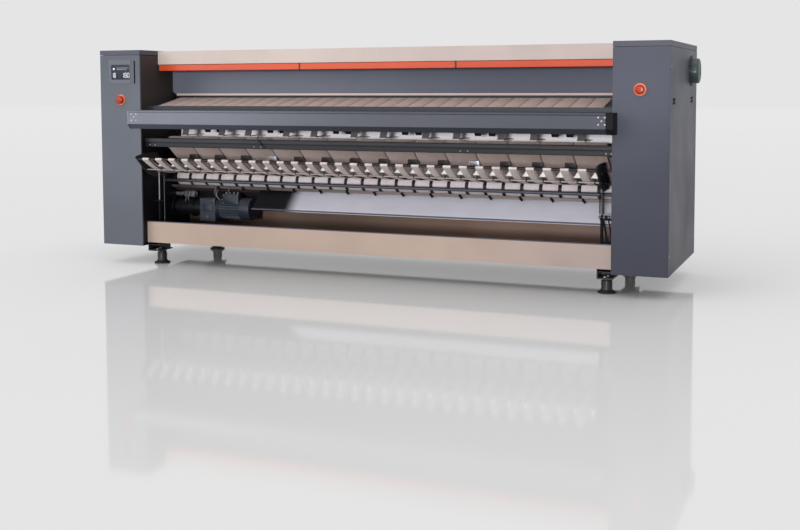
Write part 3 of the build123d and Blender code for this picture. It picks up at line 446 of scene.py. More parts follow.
# %% Fades
directions = {"X": (1, 0, 0), "Y": (0, 1, 0), "Z": (0, 0, 1)}
tray_front = float(middle[1]) + 0.064
tray_inside = ("Y", tray_front, tray_front + 0.012)


def mask_along(tree, direction, start, end):
    """A value that goes smoothly from 0 to 1 between two places along a direction."""
    where = add(tree, "TexCoord")["Object"]
    spot = add(tree, "VectorMath", {0: where, 1: directions.get(direction, direction)},
               operation="DOT_PRODUCT")["Value"]
    return ramp(tree, spot, start, end, interpolation_type="SMOOTHSTEP")


def fade(name, tint, along, within=None):
    """Tint a finish along a direction, given with its start and end, and only within a second one."""
    tree = finish[name].node_tree
    base = tree.nodes["Principled BSDF"].inputs["Base Color"]
    mask = mask_along(tree, *along)
    if within:
        mask = calc(tree, "MULTIPLY", mask, mask_along(tree, *within))
    tree.links.new(blend(tree, mask, base.links[0].from_socket, (*tint, 1.0), blend_type="MULTIPLY"), base)


fades = [
    # painted shade on the pillars: darker to the right, at the top, toward the foot and toward the lower
    # right, and on the right side face
    ("pillar_paint", (0.78, 0.76, 0.84), ("X", -1.6, 1.7)),
    ("pillar_paint", (0.82, 0.82, 0.82), ("Z", 1.10, 1.50)),
    ("pillar_paint", (0.84, 0.84, 0.84), ("Z", 0.70, 0.20)),
    ("pillar_paint", (0.54, 0.54, 0.57), ((-0.5, 0, 1), 0.62, -0.35)),
    ("pillar_paint", (0.86, 0.85, 0.93), ("X", 2.02, 2.08)),
    # painted shade: the guard, the cream covers and the lower beam darker to the right, and the lower beam
    # darker on its lower face under the lip
    ("guard_paint", (0.42, 0.44, 0.53), ("X", -1.2, 1.4)),
    ("cream_paint", (0.86, 0.82, 0.85), ("X", -1.2, 1.7)),
    ("lower_beam_paint", (0.40, 0.42, 0.50), ("Z", 0.906, 0.900)),
    ("lower_beam_paint", (0.45, 0.48, 0.54), ("X", -1.2, 0.4)),
    # painted shade inside the machine: the side frames darker toward the floor, the castings darker at their
    # left end and the guide strip darker to the left
    ("wall_paint", (0.10, 0.13, 0.20), ("Z", 1.15, 0.85)),
    ("cast_paint", (0.14, 0.14, 0.16), ("X", -1.49, -1.53)),
    ("guide_paint", (0.30, 0.28, 0.29), ("X", 0.2, -1.0)),
    # painted shade: the orange flaps and the tray darker to the right, and the inside of the tray darker and
    # browner, most of all to the left
    ("orange_plastic", (0.88, 0.84, 0.84), ("X", -0.5, 1.6)),
    ("tray_paint", (0.86, 0.89, 0.97), ("X", 0.5, 1.7)),
    ("tray_paint", (0.56, 0.46, 0.40), tray_inside),
    ("tray_paint", (0.50, 0.50, 0.50), tray_inside, ("X", 1.0, -0.6)),
    # painted shade on the front beam: darker to the right and on its lower bevel, which faces the floor
    ("beam_aluminium", (0.40, 0.40, 0.45), ("X", -1.5, 0.3)),
    ("beam_aluminium", (0.68, 0.70, 0.74), ("X", 0.2, 1.7)),
    ("beam_aluminium", (0.30, 0.33, 0.38), ("Z", 1.048, 1.040)),
    ("lift_steel", (0.05, 0.05, 0.06), ("X", -1.0, 1.0)),
    # painted shade: the delivery slide goes dark at its left end, inside the machine
    ("slide_steel", (0.012, 0.012, 0.014), ("X", -0.62, -0.74)),
    ("comb_bar_steel", (0.04, 0.04, 0.05), ("Z", 0.745, 0.755)),
]
for row in fades:
    fade(*row)
print(len(fades), "fades")

# %% [markdown]
# The solids keep their shapes and get these finishes. The table says which: nodes that aren't named
# there don't show, because a finer piece takes their place further down.

# %% Finishes of the solids
dressed_solids = {
    "pillar_paint": ("pillar_front_panels", "pillar_covers"),
    "cap_paint": ("pillar_top_caps",),
    "cream_paint": ("top_cover", "rear_cover"),
    "tray_paint": ("collection_tray",),
    "guide_paint": ("outfeed_guide",),
    "guard_paint": ("guard_panel",),
    "wall_paint": ("side_frames",),
    "black_paint": ("comb_side_plates", "guard_brackets", "beam_brackets"),
    "orange_plastic": ("finger_guard_left", "finger_guard_middle", "finger_guard_right"),
    "safety_orange": ("stop_plates",),
    "cast_paint": ("bearings", "gearbox"),
    "beam_aluminium": ("front_beam",),
    "dark_sheet": ("feed_table_frame",),
    "cylinder_steel": ("heated_cylinder",),
    "beam_black": ("lift_barrels",),
    "comb_bar_steel": ("comb_bars",),
    "lift_steel": ("lift_rods",),
    "scraper_steel": ("scraper_feet",),
    "slide_steel": ("delivery_slide",),
    "dark_steel": ("outfeed_bar",),
    "black_steel": ("outfeed_front_roller", "outfeed_rear_roller", "comb_roller"),
    "post_steel": ("scraper_arms",),
    "plain_steel": ("feed_front_roller", "feed_rear_roller", "exit_roller", "drive_roller", "rear_roller",
                    "top_roller", "nip_roller", "motor_sprocket", "service_inlets"),
    "zinc_steel": ("fan_housing", "fan_impeller"),
    "foot_steel": ("base_frame",),
    "chain_steel": ("drive_chains",),
    "valve_body": ("valve_block",),
}
for finish_name, solid_names in dressed_solids.items():
    for solid_name in solid_names:
        solid_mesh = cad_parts[solid_name].data
        solid_mesh.materials.clear()
        solid_mesh.materials.append(finish[finish_name])
print(sum(map(len, dressed_solids.values())), "solids have their finish")

# %% [markdown]
# ## Shapes worked out on a grid
# Every finer piece is a surface over two parameters. A sheet of points, rows by columns, becomes
# four-sided faces between neighbours. The last column always joins the first, which makes a tube. The last
# row may join the first too, or else the tube gets a flat cap at each end. Faces have to look outward: the
# sum of the small volumes between them and the middle tells, and when it is negative all of them are turned
# round. A shape is just its points and faces, so that several can be copied about and joined before they
# become one piece.


# %% Grids, copies and pieces
def grid(points, close_rows=False):
    """Shape of a sheet of points (rows, columns, 3): a closed ring, or a tube with a cap at each end."""
    rows, columns = points.shape[:2]
    row, column = np.meshgrid(np.arange(rows - (not close_rows)), np.arange(columns), indexing="ij")
    corners = [(row + step) % rows * columns + (column + side) % columns
               for step, side in ((0, 0), (1, 0), (1, 1), (0, 1))]
    faces = np.stack(corners, -1).reshape(-1, 4).tolist()
    corner_points = points.reshape(-1, 3)[np.array(faces)] - points.mean((0, 1))
    normals = np.cross(corner_points[:, 1], corner_points[:, 2])
    inside_out = np.einsum("fi,fi->", corner_points[:, 0], normals) < 0
    if not close_rows:
        first = np.arange(columns)
        faces += [first.tolist(), (first[::-1] + (rows - 1) * columns).tolist()]
    if inside_out:
        faces = [face[::-1] for face in faces]
    return points.reshape(-1, 3), faces


def copies(shape, steps):
    """The same shape moved by each of the steps, as one shape."""
    points, faces = shape
    moved = (points[None] + moves(steps)[:, None]).reshape(-1, 3)
    shifted = [[corner + copy * len(points) for corner in face]
               for copy in range(len(steps)) for face in faces]
    return moved, shifted


def piece(name, shapes, finish_name, node=None, body="frame", sharp=35):
    """Join shapes into one mesh, smooth except at sharp edges. It rides on a body, takes its finish and may
    stand for a solid node."""
    counts = np.cumsum([0] + [len(points) for points, _ in shapes])
    faces = [[corner + start for corner in face] for start, (_, part) in zip(counts, shapes) for face in part]
    mesh = bpy.data.meshes.new(name)
    mesh.from_pydata(np.concatenate([points for points, _ in shapes]), [], faces)
    mesh.polygons.foreach_set("use_smooth", np.ones(len(faces), bool))
    mesh.set_sharp_from_angle(angle=radians(sharp))
    mesh.materials.append(finish[finish_name])
    made = bpy.data.objects.new(name, mesh)
    bpy.context.collection.objects.link(made)
    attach(made, body)
    if node:
        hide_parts(node)
    print(f"{name}: {len(mesh.vertices)} points, {len(mesh.polygons)} faces")
    return made


# %% [markdown]
# ## Belts
# Every belt is a closed loop round two or more rollers. Its line is the arcs on the rollers, each between
# the headings of the two straight runs that touch it, and the runs between them. A belt's section is a
# flat rounded strip. Carrying that section round the line gives the surface, and the distance along the
# line and across the strip is its map, which the weave follows.

# %% The line of a belt
feed_front, feed_rear = (120, 1151, 20), (400, 1196, 30)
exit_wheel, drive_wheel = (265, 895, 45), (700, 560, 45)
rear_wheel, top_wheel, nip_wheel = (1010, 700, 45), (1010, 1330, 45), (520, 1290, 45)
cylinder_wheel = (660, 960, -250)
outfeed_front, outfeed_rear = (435, 619, 45), (740, 385, 45)
comb_wheel, nose, sag_y, sag_z, sag_r, sag_gap = (250, 681, 11), (-74, 790, 7), 230, 1175, 480, 14
clear_of_roller = 0.4


def belt_line(wheels, arc_steps=14, run_step=60):
    """Points (y, z) and outward directions of a closed line round wheels (y, z, radius), anticlockwise
    seen from the right: on a wheel the point is the centre plus the radius turned through the headings,
    and a run is divided evenly. A negative radius is passed on its outside."""
    y, z, radius = np.array(wheels, float).T
    radius = radius + clear_of_roller
    over_y, over_z, over_r = np.roll(y, -1) - y, np.roll(z, -1) - z, np.roll(radius, -1)
    heading = np.arctan2(over_z, over_y) + np.arcsin((radius - over_r) / np.hypot(over_y, over_z))
    before = np.roll(heading, 1)
    turn = (heading - before) % (2 * np.pi) - np.where(radius < 0, 2 * np.pi, 0)
    angle = before[:, None] + turn[:, None] * np.linspace(0, 1, arc_steps)
    outward = np.stack([np.sin(angle), -np.cos(angle)], -1)
    arcs = np.stack([y, z], -1)[:, None] + radius[:, None, None] * outward
    points, directions = [], []
    for i in range(len(wheels)):
        start, end = arcs[i, -1], arcs[(i + 1) % len(wheels), 0]
        share = np.linspace(0, 1, max(2, int(np.hypot(*(end - start)) / run_step) + 1))[1:-1, None]
        points += [arcs[i], start + (end - start) * share]
        directions += [outward[i], np.repeat(outward[i, -1:], len(share), 0)]
    return np.concatenate(points), np.concatenate(directions)


print("a feed belt's line has", len(belt_line([feed_front, feed_rear])[0]), "points")

# %% [markdown]
# All the belts of one conveyor are made in one go, as an array with one layer for each belt. Each belt
# gets its own small flutter along the runs, none on the rollers' arcs, so that a row of belts doesn't
# look like one printed strip. Where its two ends are joined, a belt has a slightly thicker overlap, and
# these joints stand at different places round the loop.

# %% Rows of belts
seed = np.random.default_rng(7)
flutters, joint_rise, joint_reach = 5, 0.5, 22


def belt_row(name, wheels, middles, width, thickness, finish_name, node, body="frame",
             flutter=0.5, arc_steps=14):
    """A row of closed belts: point = line + outward * height of the section + x * its width. The height
    also has a sine flutter along the run, which a belt's own phase and size vary, and a smooth bump
    where the two ends overlap."""
    line, outward = belt_line(wheels, arc_steps)
    step = np.hypot(*(np.roll(line, -1, 0) - line).T)
    along = np.concatenate([[0], np.cumsum(step)])
    loop = along[-1]
    half, edge = width / 2, thickness * 0.35
    across = np.array([-half, edge - half, -half / 2, 0, half / 2, half - edge,
                       half, half, half - edge, 0, edge - half, -half])
    height = np.array([edge] + [0] * 5 + [edge, thickness - edge] + [thickness] * 3 + [thickness - edge])
    belts = len(middles)
    straight = np.minimum(np.minimum(step, np.roll(step, 1)) / 25, 1.0)
    phase, size = seed.uniform(0, 2 * np.pi, belts), seed.uniform(0.3, 1.0, belts)
    turns = along[:-1] / loop * 2 * np.pi * flutters
    wave = np.sin(turns + phase[:, None]) * size[:, None] * flutter * straight
    joint = seed.uniform(0, loop, belts)
    apart = np.abs((along[:-1] - joint[:, None] + loop / 2) % loop - loop / 2)
    bump = joint_rise * np.clip(1.3 - apart / joint_reach, 0, 1)
    lift = wave[..., None] + height + (height > thickness * 0.5) * bump[..., None]
    x = middles[:, None, None] + across + 0 * lift
    y, z = (line[:, [axis]] + outward[:, [axis]] * lift for axis in (0, 1))
    shapes = [grid(place(x[i], y[i], z[i]), close_rows=True) for i in range(belts)]
    made = piece(name, shapes, finish_name, node, body, sharp=60)
    row, column = np.meshgrid(np.arange(len(line)), np.arange(len(across)), indexing="ij")
    around = np.append(across, across[0])
    corners = [np.stack([around[column + side], along[row + ahead]], -1) * mm
               for ahead, side in ((0, 0), (1, 0), (1, 1), (0, 1))]
    one_belt = np.stack(corners, 2).reshape(-1, 2)
    uv = (one_belt[None] + seed.uniform(0, 5, (belts, 1, 2))).reshape(-1)
    made.data.uv_layers.new(name="belt_map").data.foreach_set("uv", uv)


def spread(count, pitch, middle=0.0):
    """Even places about a middle: count of them, pitch apart."""
    return middle + (np.arange(count) - (count - 1) / 2) * pitch


belt_pitch, comb_count, comb_pitch, comb_middle = 110, 30, 110.16, -36
belt_row("feed_belt_cloth", [feed_front, feed_rear], spread(30, belt_pitch), 106, 2.5, "feed_cloth",
         "feed_belts")
belt_row("outfeed_belt_cloth", [outfeed_front, outfeed_rear], spread(26, 130.4), 106, 2.5, "outfeed_cloth",
         "outfeed_belts", flutter=0.8)
belt_row("comb_belt_cloth", [comb_wheel, (sag_y, sag_z, -sag_r), nose, (sag_y, sag_z, sag_r + sag_gap)],
         spread(comb_count, comb_pitch, comb_middle), 53, 2, "comb_cloth", "comb_belts",
         "comb", flutter=0.0)
belt_row("ironing_belt_felt", [exit_wheel, drive_wheel, rear_wheel, top_wheel, nip_wheel, cylinder_wheel],
         spread(15, 2 * belt_pitch), 214, 3, "ironing_felt", "ironing_belts", arc_steps=28)

# %% [markdown]
# ## Helpers for the finer pieces
# Three kinds of surface make nearly all of them. A turned part is a profile, distance along the axis
# against radius, carried round the axis, as on a lathe. A slab is a flat outline that first grows by the
# width of its rounded edge, then goes straight through the thickness and shrinks again. A pipe is a circle
# carried along a bent line, and each circle stands square to the line there.


# %% Turned parts, slabs and pipes
def turned(centre, axis, profile, steps, close=False):
    """Profile (distance, radius) carried round an axis: point = centre + axis * distance + (side * cos +
    other side * sin) * radius. The axis is named by its letter and the way it points, such as "+x"."""
    along = np.zeros(3)
    along["xyz".index(axis[1])] = 1 if axis[0] == "+" else -1
    side, other = np.roll(np.abs(along), 1), np.roll(np.abs(along), 2)
    distance, radius = np.array(profile, float).T[..., None, None]
    angle = np.linspace(0, 2 * np.pi, steps, endpoint=False)[:, None]
    circle = side * np.cos(angle) + other * np.sin(angle)
    spots = np.array(centre, float) + along * distance + circle * np.maximum(radius, 0.02)
    return grid(place(*np.moveaxis(spots, -1, 0)), close_rows=close)


def bolt(radius, height, edge=1.0, rim=1.0):
    """Profile of a plain head or disc with a chamfered edge."""
    return [(0, radius), (height - edge, radius), (height, radius - rim), (height, 0)]


def slab(outline, start, thickness, across=1, soft=1.0):
    """Outline (u, v) made thick along an axis: it is drawn in by the soft edge at both ends. Across is
    the axis of the thickness, and u and v are the other two axes in order."""
    outline = np.array(outline, float)
    inward = outline.mean(0) - outline
    inward /= np.maximum(np.hypot(*inward.T), 1e-9)[:, None]
    levels = np.array([0, soft * 0.3, soft, thickness - soft, thickness - soft * 0.3, thickness])
    drawn = np.array([soft, soft * 0.3, 0, 0, soft * 0.3, soft])
    flat = outline + inward * drawn[:, None, None]
    spots = [flat[..., 0], flat[..., 1]]
    spots.insert(across, (start + levels)[:, None])
    return grid(place(*spots))


def rounded_outline(u, v, width, height, corner, steps=4):
    """Outline of a rectangle about (u, v) with round corners: four quarter circles."""
    angle = np.linspace(0, np.pi / 2, steps)
    reach = np.array([width / 2 - corner, height / 2 - corner])
    quarters = [(su * reach[0] + corner * np.cos(angle + turn), sv * reach[1] + corner * np.sin(angle + turn))
                for su, sv, turn in ((1, 1, 0), (-1, 1, np.pi / 2), (-1, -1, np.pi), (1, -1, 3 * np.pi / 2))]
    return np.concatenate([np.stack(quarter, -1) for quarter in quarters]) + (u, v)


def plate(rectangle, *depth):
    """A slab with round corners: the rectangle is u, v, width, height and corner."""
    return slab(rounded_outline(*rectangle), *depth)


def pipe(points, radius, steps=8, rows=24):
    """A circle carried along a smooth line through the points. The line is the sum of the points weighed
    by cubic curves (Catmull and Rom's), and each circle is square to it."""
    points = np.array(points, float)
    ends = np.concatenate([2 * points[:1] - points[1:2], points, 2 * points[-1:] - points[-2:-1]])
    spot = np.linspace(0, len(points) - 1, rows).clip(0, len(points) - 1 - 1e-6)
    part, t = spot.astype(int), (spot % 1)[:, None]
    p0, p1, p2, p3 = (ends[part + k] for k in range(4))
    line = 0.5 * (2 * p1 + (p2 - p0) * t + (2 * p0 - 5 * p1 + 4 * p2 - p3) * t ** 2
                  + (3 * p1 - p0 - 3 * p2 + p3) * t ** 3)
    ahead = np.gradient(line, axis=0)
    ahead /= np.linalg.norm(ahead, axis=1, keepdims=True)
    guide = np.where(np.abs(ahead[:, :1]) < 0.8, [[1.0, 0, 0]], [[0, 0, 1.0]])
    side = np.cross(ahead, guide)
    side /= np.linalg.norm(side, axis=1, keepdims=True)
    angle = np.linspace(0, 2 * np.pi, steps, endpoint=False)[:, None]
    up = np.cross(ahead, side)
    circles = line[:, None] + radius * (side[:, None] * np.cos(angle) + up[:, None] * np.sin(angle))
    return grid(place(*np.moveaxis(circles, -1, 0)))


def carried_along_x(section, x0, x1, rows=12):
    """A closed section (y, z) carried straight along x."""
    y, z = np.array(section, float).T
    return grid(place(np.linspace(x0, x1, rows)[:, None], y, z))


print("a plain bolt head has", len(turned((0, 0, 0), "+z", bolt(6, 5), 6)[1]), "faces")

# %% [markdown]
# ## The comb
# Between the comb's belts stand white plastic fingers, which lift the linen off the strips as it comes
# down. They are moulded wedges: wide at the foot, thin at the tip. The half width falls with the height to
# the power 1.15, which gives slightly hollow sides, while the depth falls evenly. Each stands on a dark pin
# screwed to the bar.

# %% Fingers and their pins
finger_y, finger_bar_z, finger_low, finger_tip, finger_half = 40, 706, 733, 769, 26
finger_steps = [(x, 0, 0) for x in spread(comb_count, comb_pitch, comb_middle) + comb_pitch / 2]
up = np.array([0, 0.03, 0.12, 0.3, 0.5, 0.7, 0.86, 0.97, 1.0])[:, None]
swell = np.array([0.9, 1, 1, 1, 1, 1, 1, 0.9, 0.3])[:, None]
half_width = (finger_half * (1 - up) ** 1.15 + 2.5) * swell
half_depth = (7 * (1 - up) + 2.5) * swell
around = np.linspace(0, 2 * np.pi, 16, endpoint=False)
square_x, square_y = (np.sign(wave) * np.abs(wave) ** 0.6 for wave in (np.cos(around), np.sin(around)))
finger = grid(place(half_width * square_x, finger_y + half_depth * square_y,
                    finger_low + (finger_tip - finger_low) * up))
piece("comb_finger_wedges", [copies(finger, finger_steps)], "white_plastic", "comb_fingers",
      body="comb")
pin = turned((0, finger_y, finger_bar_z - 6), "+z",
             [(0, 7), (12, 7), (13, 4), (24, 4), (26, 6), (27.5, 6)], 12)
piece("comb_finger_pins", [copies(pin, finger_steps)], "black_plastic", body="comb")

# %% [markdown]
# The comb hangs on its plates by a round hub at the roller and by a pin in each lift rod. Bolt heads hold
# the bars to the plates. All are turned parts on the plates' outer faces.

# %% Hubs and bolts of the comb plates
comb_x, comb_half, comb_plate = -27.5, 1675.5, 8
hub = [(0, 20), (3, 20), (4, 19), (4, 12), (7, 12), (8, 11), (8, 8)]
socket_bolt = [(0, 9), (5, 9), (6.5, 7.5), (6.5, 4.5), (3.5, 4.2), (3.5, 0)]
comb_bolts = []
for outer, axis in ((comb_x - comb_half - comb_plate, "-x"), (comb_x + comb_half + comb_plate, "+x")):
    comb_bolts.append(turned((outer, 250, 681), axis, hub, 24))
    comb_bolts += [turned((outer, y, z), axis, socket_bolt, 12)
                   for y, z in ((-74, 803), (40, 706), (150, 800), (60, 760), (165, 692))]
piece("comb_bolts", comb_bolts, "black_steel", body="comb")

# %% [markdown]
# ## Beams, hooks and tabs
# The lower beam is a rolled profile, not a plain box: a raised upper face with a round lip, a groove, and a
# lower face set back a little. The dark line along the middle of the beam is that groove. Its section is
# carried along the machine.

# %% Lower beam profile
lower_section = [(93, 871), (62, 871), (58, 874), (57.5, 902), (61, 903), (61, 906), (54, 907), (53, 909),
                 (53, 932), (54, 934.5), (57, 935), (93, 935)]
piece("lower_beam_profile", [carried_along_x(lower_section, -pillar_in, pillar_in, 24)], "lower_beam_paint",
      "lower_beam", sharp=25)

# %% [markdown]
# Black plastic hooks hang from the guide strip in front of the outfeed belts and keep the linen off the
# strip. Each is a short bent pipe that leans to the right.

# %% Hooks of the guide strip
hook = pipe([(-8, 384, 564), (-4, 380, 559), (2, 377, 552), (7, 375, 546), (11, 377, 542)], 8.5, rows=12)
hook_steps = [(184 + 213.8 * i, 0, 0) for i in range(-7, 7)]
piece("strip_hooks", [copies(hook, hook_steps)], "beam_black")

# %% [markdown]
# Plastic tabs keep the ironing belts apart. The upper ones hang in pairs under the scraper beam, the lower
# ones stand on a square bar, wide at their foot. Each is a flat slab with a soft edge, from an outline with
# four corners that points are spread along. Two of the lower ones are of bright metal.


# %% Belt guide tabs
def tabs(places, y, low, high, low_width, high_width):
    """Tabs 3 mm thick at each x: the sides between a tab's four corners are divided in six."""
    share = np.linspace(0, 1, 6, endpoint=False)[:, None]
    corners = np.array([(-low_width / 2, low), (low_width / 2, low),
                        (high_width / 2, high), (-high_width / 2, high)])
    outline = np.concatenate([a + (b - a) * share for a, b in zip(corners, np.roll(corners, -1, 0))])
    return [slab(outline + (x, 0), y, 3) for x in places]


lower_tabs = list(spread(14, 2 * belt_pitch, -28))
bright_tabs = [lower_tabs.pop(i) for i in (10, 3)][::-1]
hung_pitch, pair_step = 521.6, 98
hung_tabs = [(k + 0.5) * hung_pitch + 9 + step for k in range(-3, 3) for step in (0, pair_step)]
piece("hung_tabs", tabs(hung_tabs, 219, 977, 1007.5, 42, 60), "beam_black")
tab_bar = carried_along_x(rounded_outline(275, 765, 20, 20, 3), -pillar_in, pillar_in)
piece("belt_guide_tabs", tabs(lower_tabs, 277, 775, 808, 80, 72) + [tab_bar], "tab_plastic",
      "belt_guides")
piece("bright_tabs", tabs(bright_tabs, 277, 775, 808, 80, 72), "valve_body")

# %% [markdown]
# Thin sections run along the machine. A dark sheet under the left end of the outfeed belts is painted
# shade: it stands where the belts' underside lies in shadow. A pale strip stiffens the lower edge of the
# guard panel, and the black lip under it is the painted shadow of the throat behind. Rolled beads stiffen
# the lips of the delivery slide and the tray, and the tray bead's dark colour is a painted shadow line.

# %% Guard sheet, strips and beads
# a dark sheet for painted shade under the left end of the outfeed belts
shade_sheet_section = [(450, 545), (690, 361), (691.2, 362.6), (451.2, 546.6)]
piece("painted_shade_sheet", [carried_along_x(shade_sheet_section, -side_wall, -968)], "black_paint")
for name, rectangle, x0, x1, look, slot_name in (
        ("guard_strip", (417, 1252, 6, 16, 2), -1690, 1690, "cream_paint", "cream_paint"),
        # black lip: the painted shadow of the dark throat behind the guard strip
        ("guard_shadow_lip", (417, 1238, 7, 11, 2), -1690, 1690, "black_plastic", "black_plastic"),
        ("slide_bead", (263, 420, 8, 10, 3.5), -960, 1725, "dark_steel", "stainless"),
        # the tray bead's dark steel is a painted shadow line along the tray's top edge
        ("tray_bead", (62, 319.5, 8, 7, 2.5), -side_wall, side_wall, "dark_steel", "cream_paint")):
    piece(name, [carried_along_x(rounded_outline(*rectangle), x0, x1)], look)

# %% [markdown]
# Moulded caps close the front beam's ends. Each is a sleeve a little larger than the beam's own section,
# so that its edge stands proud all round. The right one reaches further over the beam than the left one.

# %% End caps of the front beam
sleeve = [(-151, 1044), (-151, 1137), (-150, 1140), (-146, 1143), (-30, 1143), (-30, 1009.5), (-118, 1009.5),
          (-122, 1010.5)]
for name, x0, x1, look, node in (("beam_cap_left", -1734, -1722, "beam_aluminium", None),
                                 ("beam_cap_right", 1718, 1763, "beam_black", "beam_end_caps")):
    piece(name, [carried_along_x(sleeve, x0, x1, 3)], look, node, sharp=30)

# %% [markdown]
# A small black sensor sits on the lower beam, left of the middle, with a short stiff probe upward and a
# short lead. It is a rounded slab with two bent pipes.

# %% Sensor
sensor_shapes = [plate((-770, 912, 26, 24, 5), 41, 12, 1, 2),
                 pipe([(-770, 46, 920), (-768, 40, 934), (-776, 38, 948), (-770, 44, 958)], 3.5, rows=14),
                 pipe([(-758, 46, 906), (-744, 42, 896), (-734, 44, 884), (-726, 52, 880)], 3.5, rows=14)]
piece("beam_sensor", sensor_shapes, "black_plastic")

# %% [markdown]
# ## Screws
# A round-headed screw is a low dome with a socket: the profile simply runs back into the head. The screws
# over the feet have six-sided heads, with six steps round the circle.


# %% Screw heads
def screw_head(centre, axis, radius, height):
    """Dome: height falls with the square of the radius. Socket: a smaller well in its top."""
    rings = radius * np.array([1.0, 1.0, 0.92, 0.75, 0.52, 0.48, 0.46, 0])
    levels = height * np.array([0, 0.35, 0.62, 0.85, 1.0, 1.0, 0.35, 0.35])
    return turned(centre, axis, list(zip(levels, rings)), 12)


foot_x, foot_places = 1670, (160, 930)
beam_screws = [(x + dx, 1094 + dz) for x in (-1680, 1694)
               for dx, dz in ((-20, 22), (20, 22), (0, 0), (-20, -22), (20, -22))]
screw_shapes = [screw_head((x, -150, z), "-y", 6, 2.4) for x, z in beam_screws]
screw_shapes += [screw_head((x, 58, 886), "-y", 5, 3.5)
                 for x in (-1690, -1645, -815, -760, 725, 775, 1680, 1712)]
for side, axis in ((-1, "-x"), (1, "+x")):
    screw_shapes += [screw_head((side * pillar_out, y, z), axis, 7, 2.4)
                     for y in (35, 1095) for z in (1420, 270)]
for side in (-1, 1):
    screw_shapes += [turned((side * foot_x + dx, y + dy, 108), "+z", bolt(10.5, 6.5, 1.3, 1.5), 6)
                     for y in foot_places for dx, dy in ((0, -60), (9 * side, -10))]
piece("screw_heads", screw_shapes, "pipe_steel", "screws")

# %% [markdown]
# ## Operator display and stop buttons
# The display is a moulded frame with a sunk black glass. Its picture is only plain figures: a number of
# three digits and one of two, a round mark and two bars. Each digit is made of straight strokes, as on any
# counter, and every stroke is a thin slab just proud of the glass.

# %% Display
bezel, window = (-1903.5, 1421), (-1894.5, 1418)
unit = rounded_outline(0, 0, 1, 1, 0.06, 5)
loops = []
for (x, z), wide, high, y in ((bezel, 195, 176, 0), (bezel, 195, 176, -2.2), (bezel, 193, 174, -3),
                              (window, 165, 110, -3), (window, 163, 108, -1.6), (window, 163, 108, 0)):
    loops.append(place(x + unit[:, 0] * wide, y, z + unit[:, 1] * high))
piece("display_bezel", [grid(np.stack(loops), close_rows=True)], "bezel_plastic",
      "display_unit")
piece("display_glass", [plate((*window, 164, 109, 4), -1.5, 1.4, 1, 0.3)], "screen_glass")
# A thin black plate beside the display stands for the slot there: its black is painted shade.
piece("display_slot_shade", [plate((-1772, 1417, 11, 170, 5), -1.6, 1.6, 1, 0.5)], "beam_black")


def stroke(x0, z0, x1, z1, width=4.6):
    """A straight stroke between two points as a thin slab with pointed ends."""
    start, end = np.array([x0, z0], float), np.array([x1, z1], float)
    line = (end - start) / np.hypot(*(end - start))
    ahead, side = line * width / 2, np.array([-line[1], line[0]]) * width / 2
    outline = [start, start + ahead + side, end - ahead + side, end, end - ahead - side, start + ahead - side]
    return slab(outline, -2.1, 0.5, 1, 0.1)


left_side, right_side = [(0, 0, 0, 1), (0, 1, 0, 2)], [(1, 0, 1, 1), (1, 1, 1, 2)]
rungs = [(0, 0, 1, 0), (0, 1, 1, 1), (0, 2, 1, 2)]
both_sides = left_side + right_side
digit_strokes = {"1": right_side, "8": rungs + both_sides, "0": rungs[::2] + both_sides}
figures = []
for first, pitch, wide, number in ((-1882, 24, 15, "180"), (-1968, 18, 10, "18")):
    for i, digit in enumerate(number):
        left = first + pitch * i
        figures += [stroke(left + wide * a, 1378 + 17 * b, left + wide * c, 1378 + 17 * d)
                    for a, b, c, d in digit_strokes[digit]]
figures += [stroke(-1930, 1449, -1824, 1449, 1.6), stroke(-1930, 1438, -1840, 1438, 1.6)]
figures.append(turned((-1953, -1.5, 1442), "-y", bolt(8, 0.6, 0.1), 20))
piece("display_figures", figures, "screen_figures")

# %% [markdown]
# An emergency stop is a mushroom on a stem: flat enough for the palm, round at the rim. The heads ride on
# their own bodies, because they can be pressed in.

# %% Stop buttons
mushroom = [(-6, 8.9), (-18, 8.9), (-18.4, 20), (-19.4, 27.5), (-21.5, 29.8), (-25, 29.6), (-28.5, 27),
            (-30.6, 21), (-31.7, 12), (-32, 0)]
for side, x, z in (("left", -1895, 1217), ("right", 1895, 1283)):
    piece(f"stop_mushroom_{side}", [turned((x, 0, z), "+y", mushroom, 40)], "stop_red",
          f"stop_button_{side}", f"stop_button_{side}_body")

# %% [markdown]
# ## Drive
# The motor is a cast body with cooling fins, a fan cowl with a grille at its end and a terminal box on its
# side. Its outline round the axis is one function: a radius that steps up and down with the angle, smoothed
# so that the fins have round tips, and carried from the flange to the cowl. The cowl and flange are turned,
# and the grille is rings and spokes over a dark hollow.

# %% Drive motor
motor_y, motor_z, gear_right, motor_right = 465, 392, -1343, -1057
body_end = motor_right - 76
fin_count, per_fin = 28, 10
angle = np.linspace(0, 2 * np.pi, fin_count * per_fin, endpoint=False)
fin = np.clip(1.8 * np.sin(angle * fin_count) - 0.5, 0, 1)
stations = np.concatenate([gear_right + np.array([12, 20, 24, 26]), body_end - np.array([22, 20, 16])])
fin_size = np.array([0, 0, 0.6, 1, 1, 0.6, 0])[:, None]
fin_radius = 75 + 7.5 * fin * fin_size
finned = grid(place(stations[:, None], motor_y + fin_radius * np.cos(angle),
                    motor_z + fin_radius * np.sin(angle)))
flange_profile = [(0, 80), (1, 84), (10, 84), (12, 82), (13, 76), (13, 0)]
flange = turned((gear_right, motor_y, motor_z), "+x", flange_profile, 48)
cowl_profile = [(0, 77), (0, 83), (2, 84), (82, 84), (88, 82), (92, 76), (92, 70), (89, 70), (86, 66),
                (86, 0)]
cowl = turned((body_end - 16, motor_y, motor_z), "+x", cowl_profile, 48)
motor_shapes = [finned, flange, cowl]
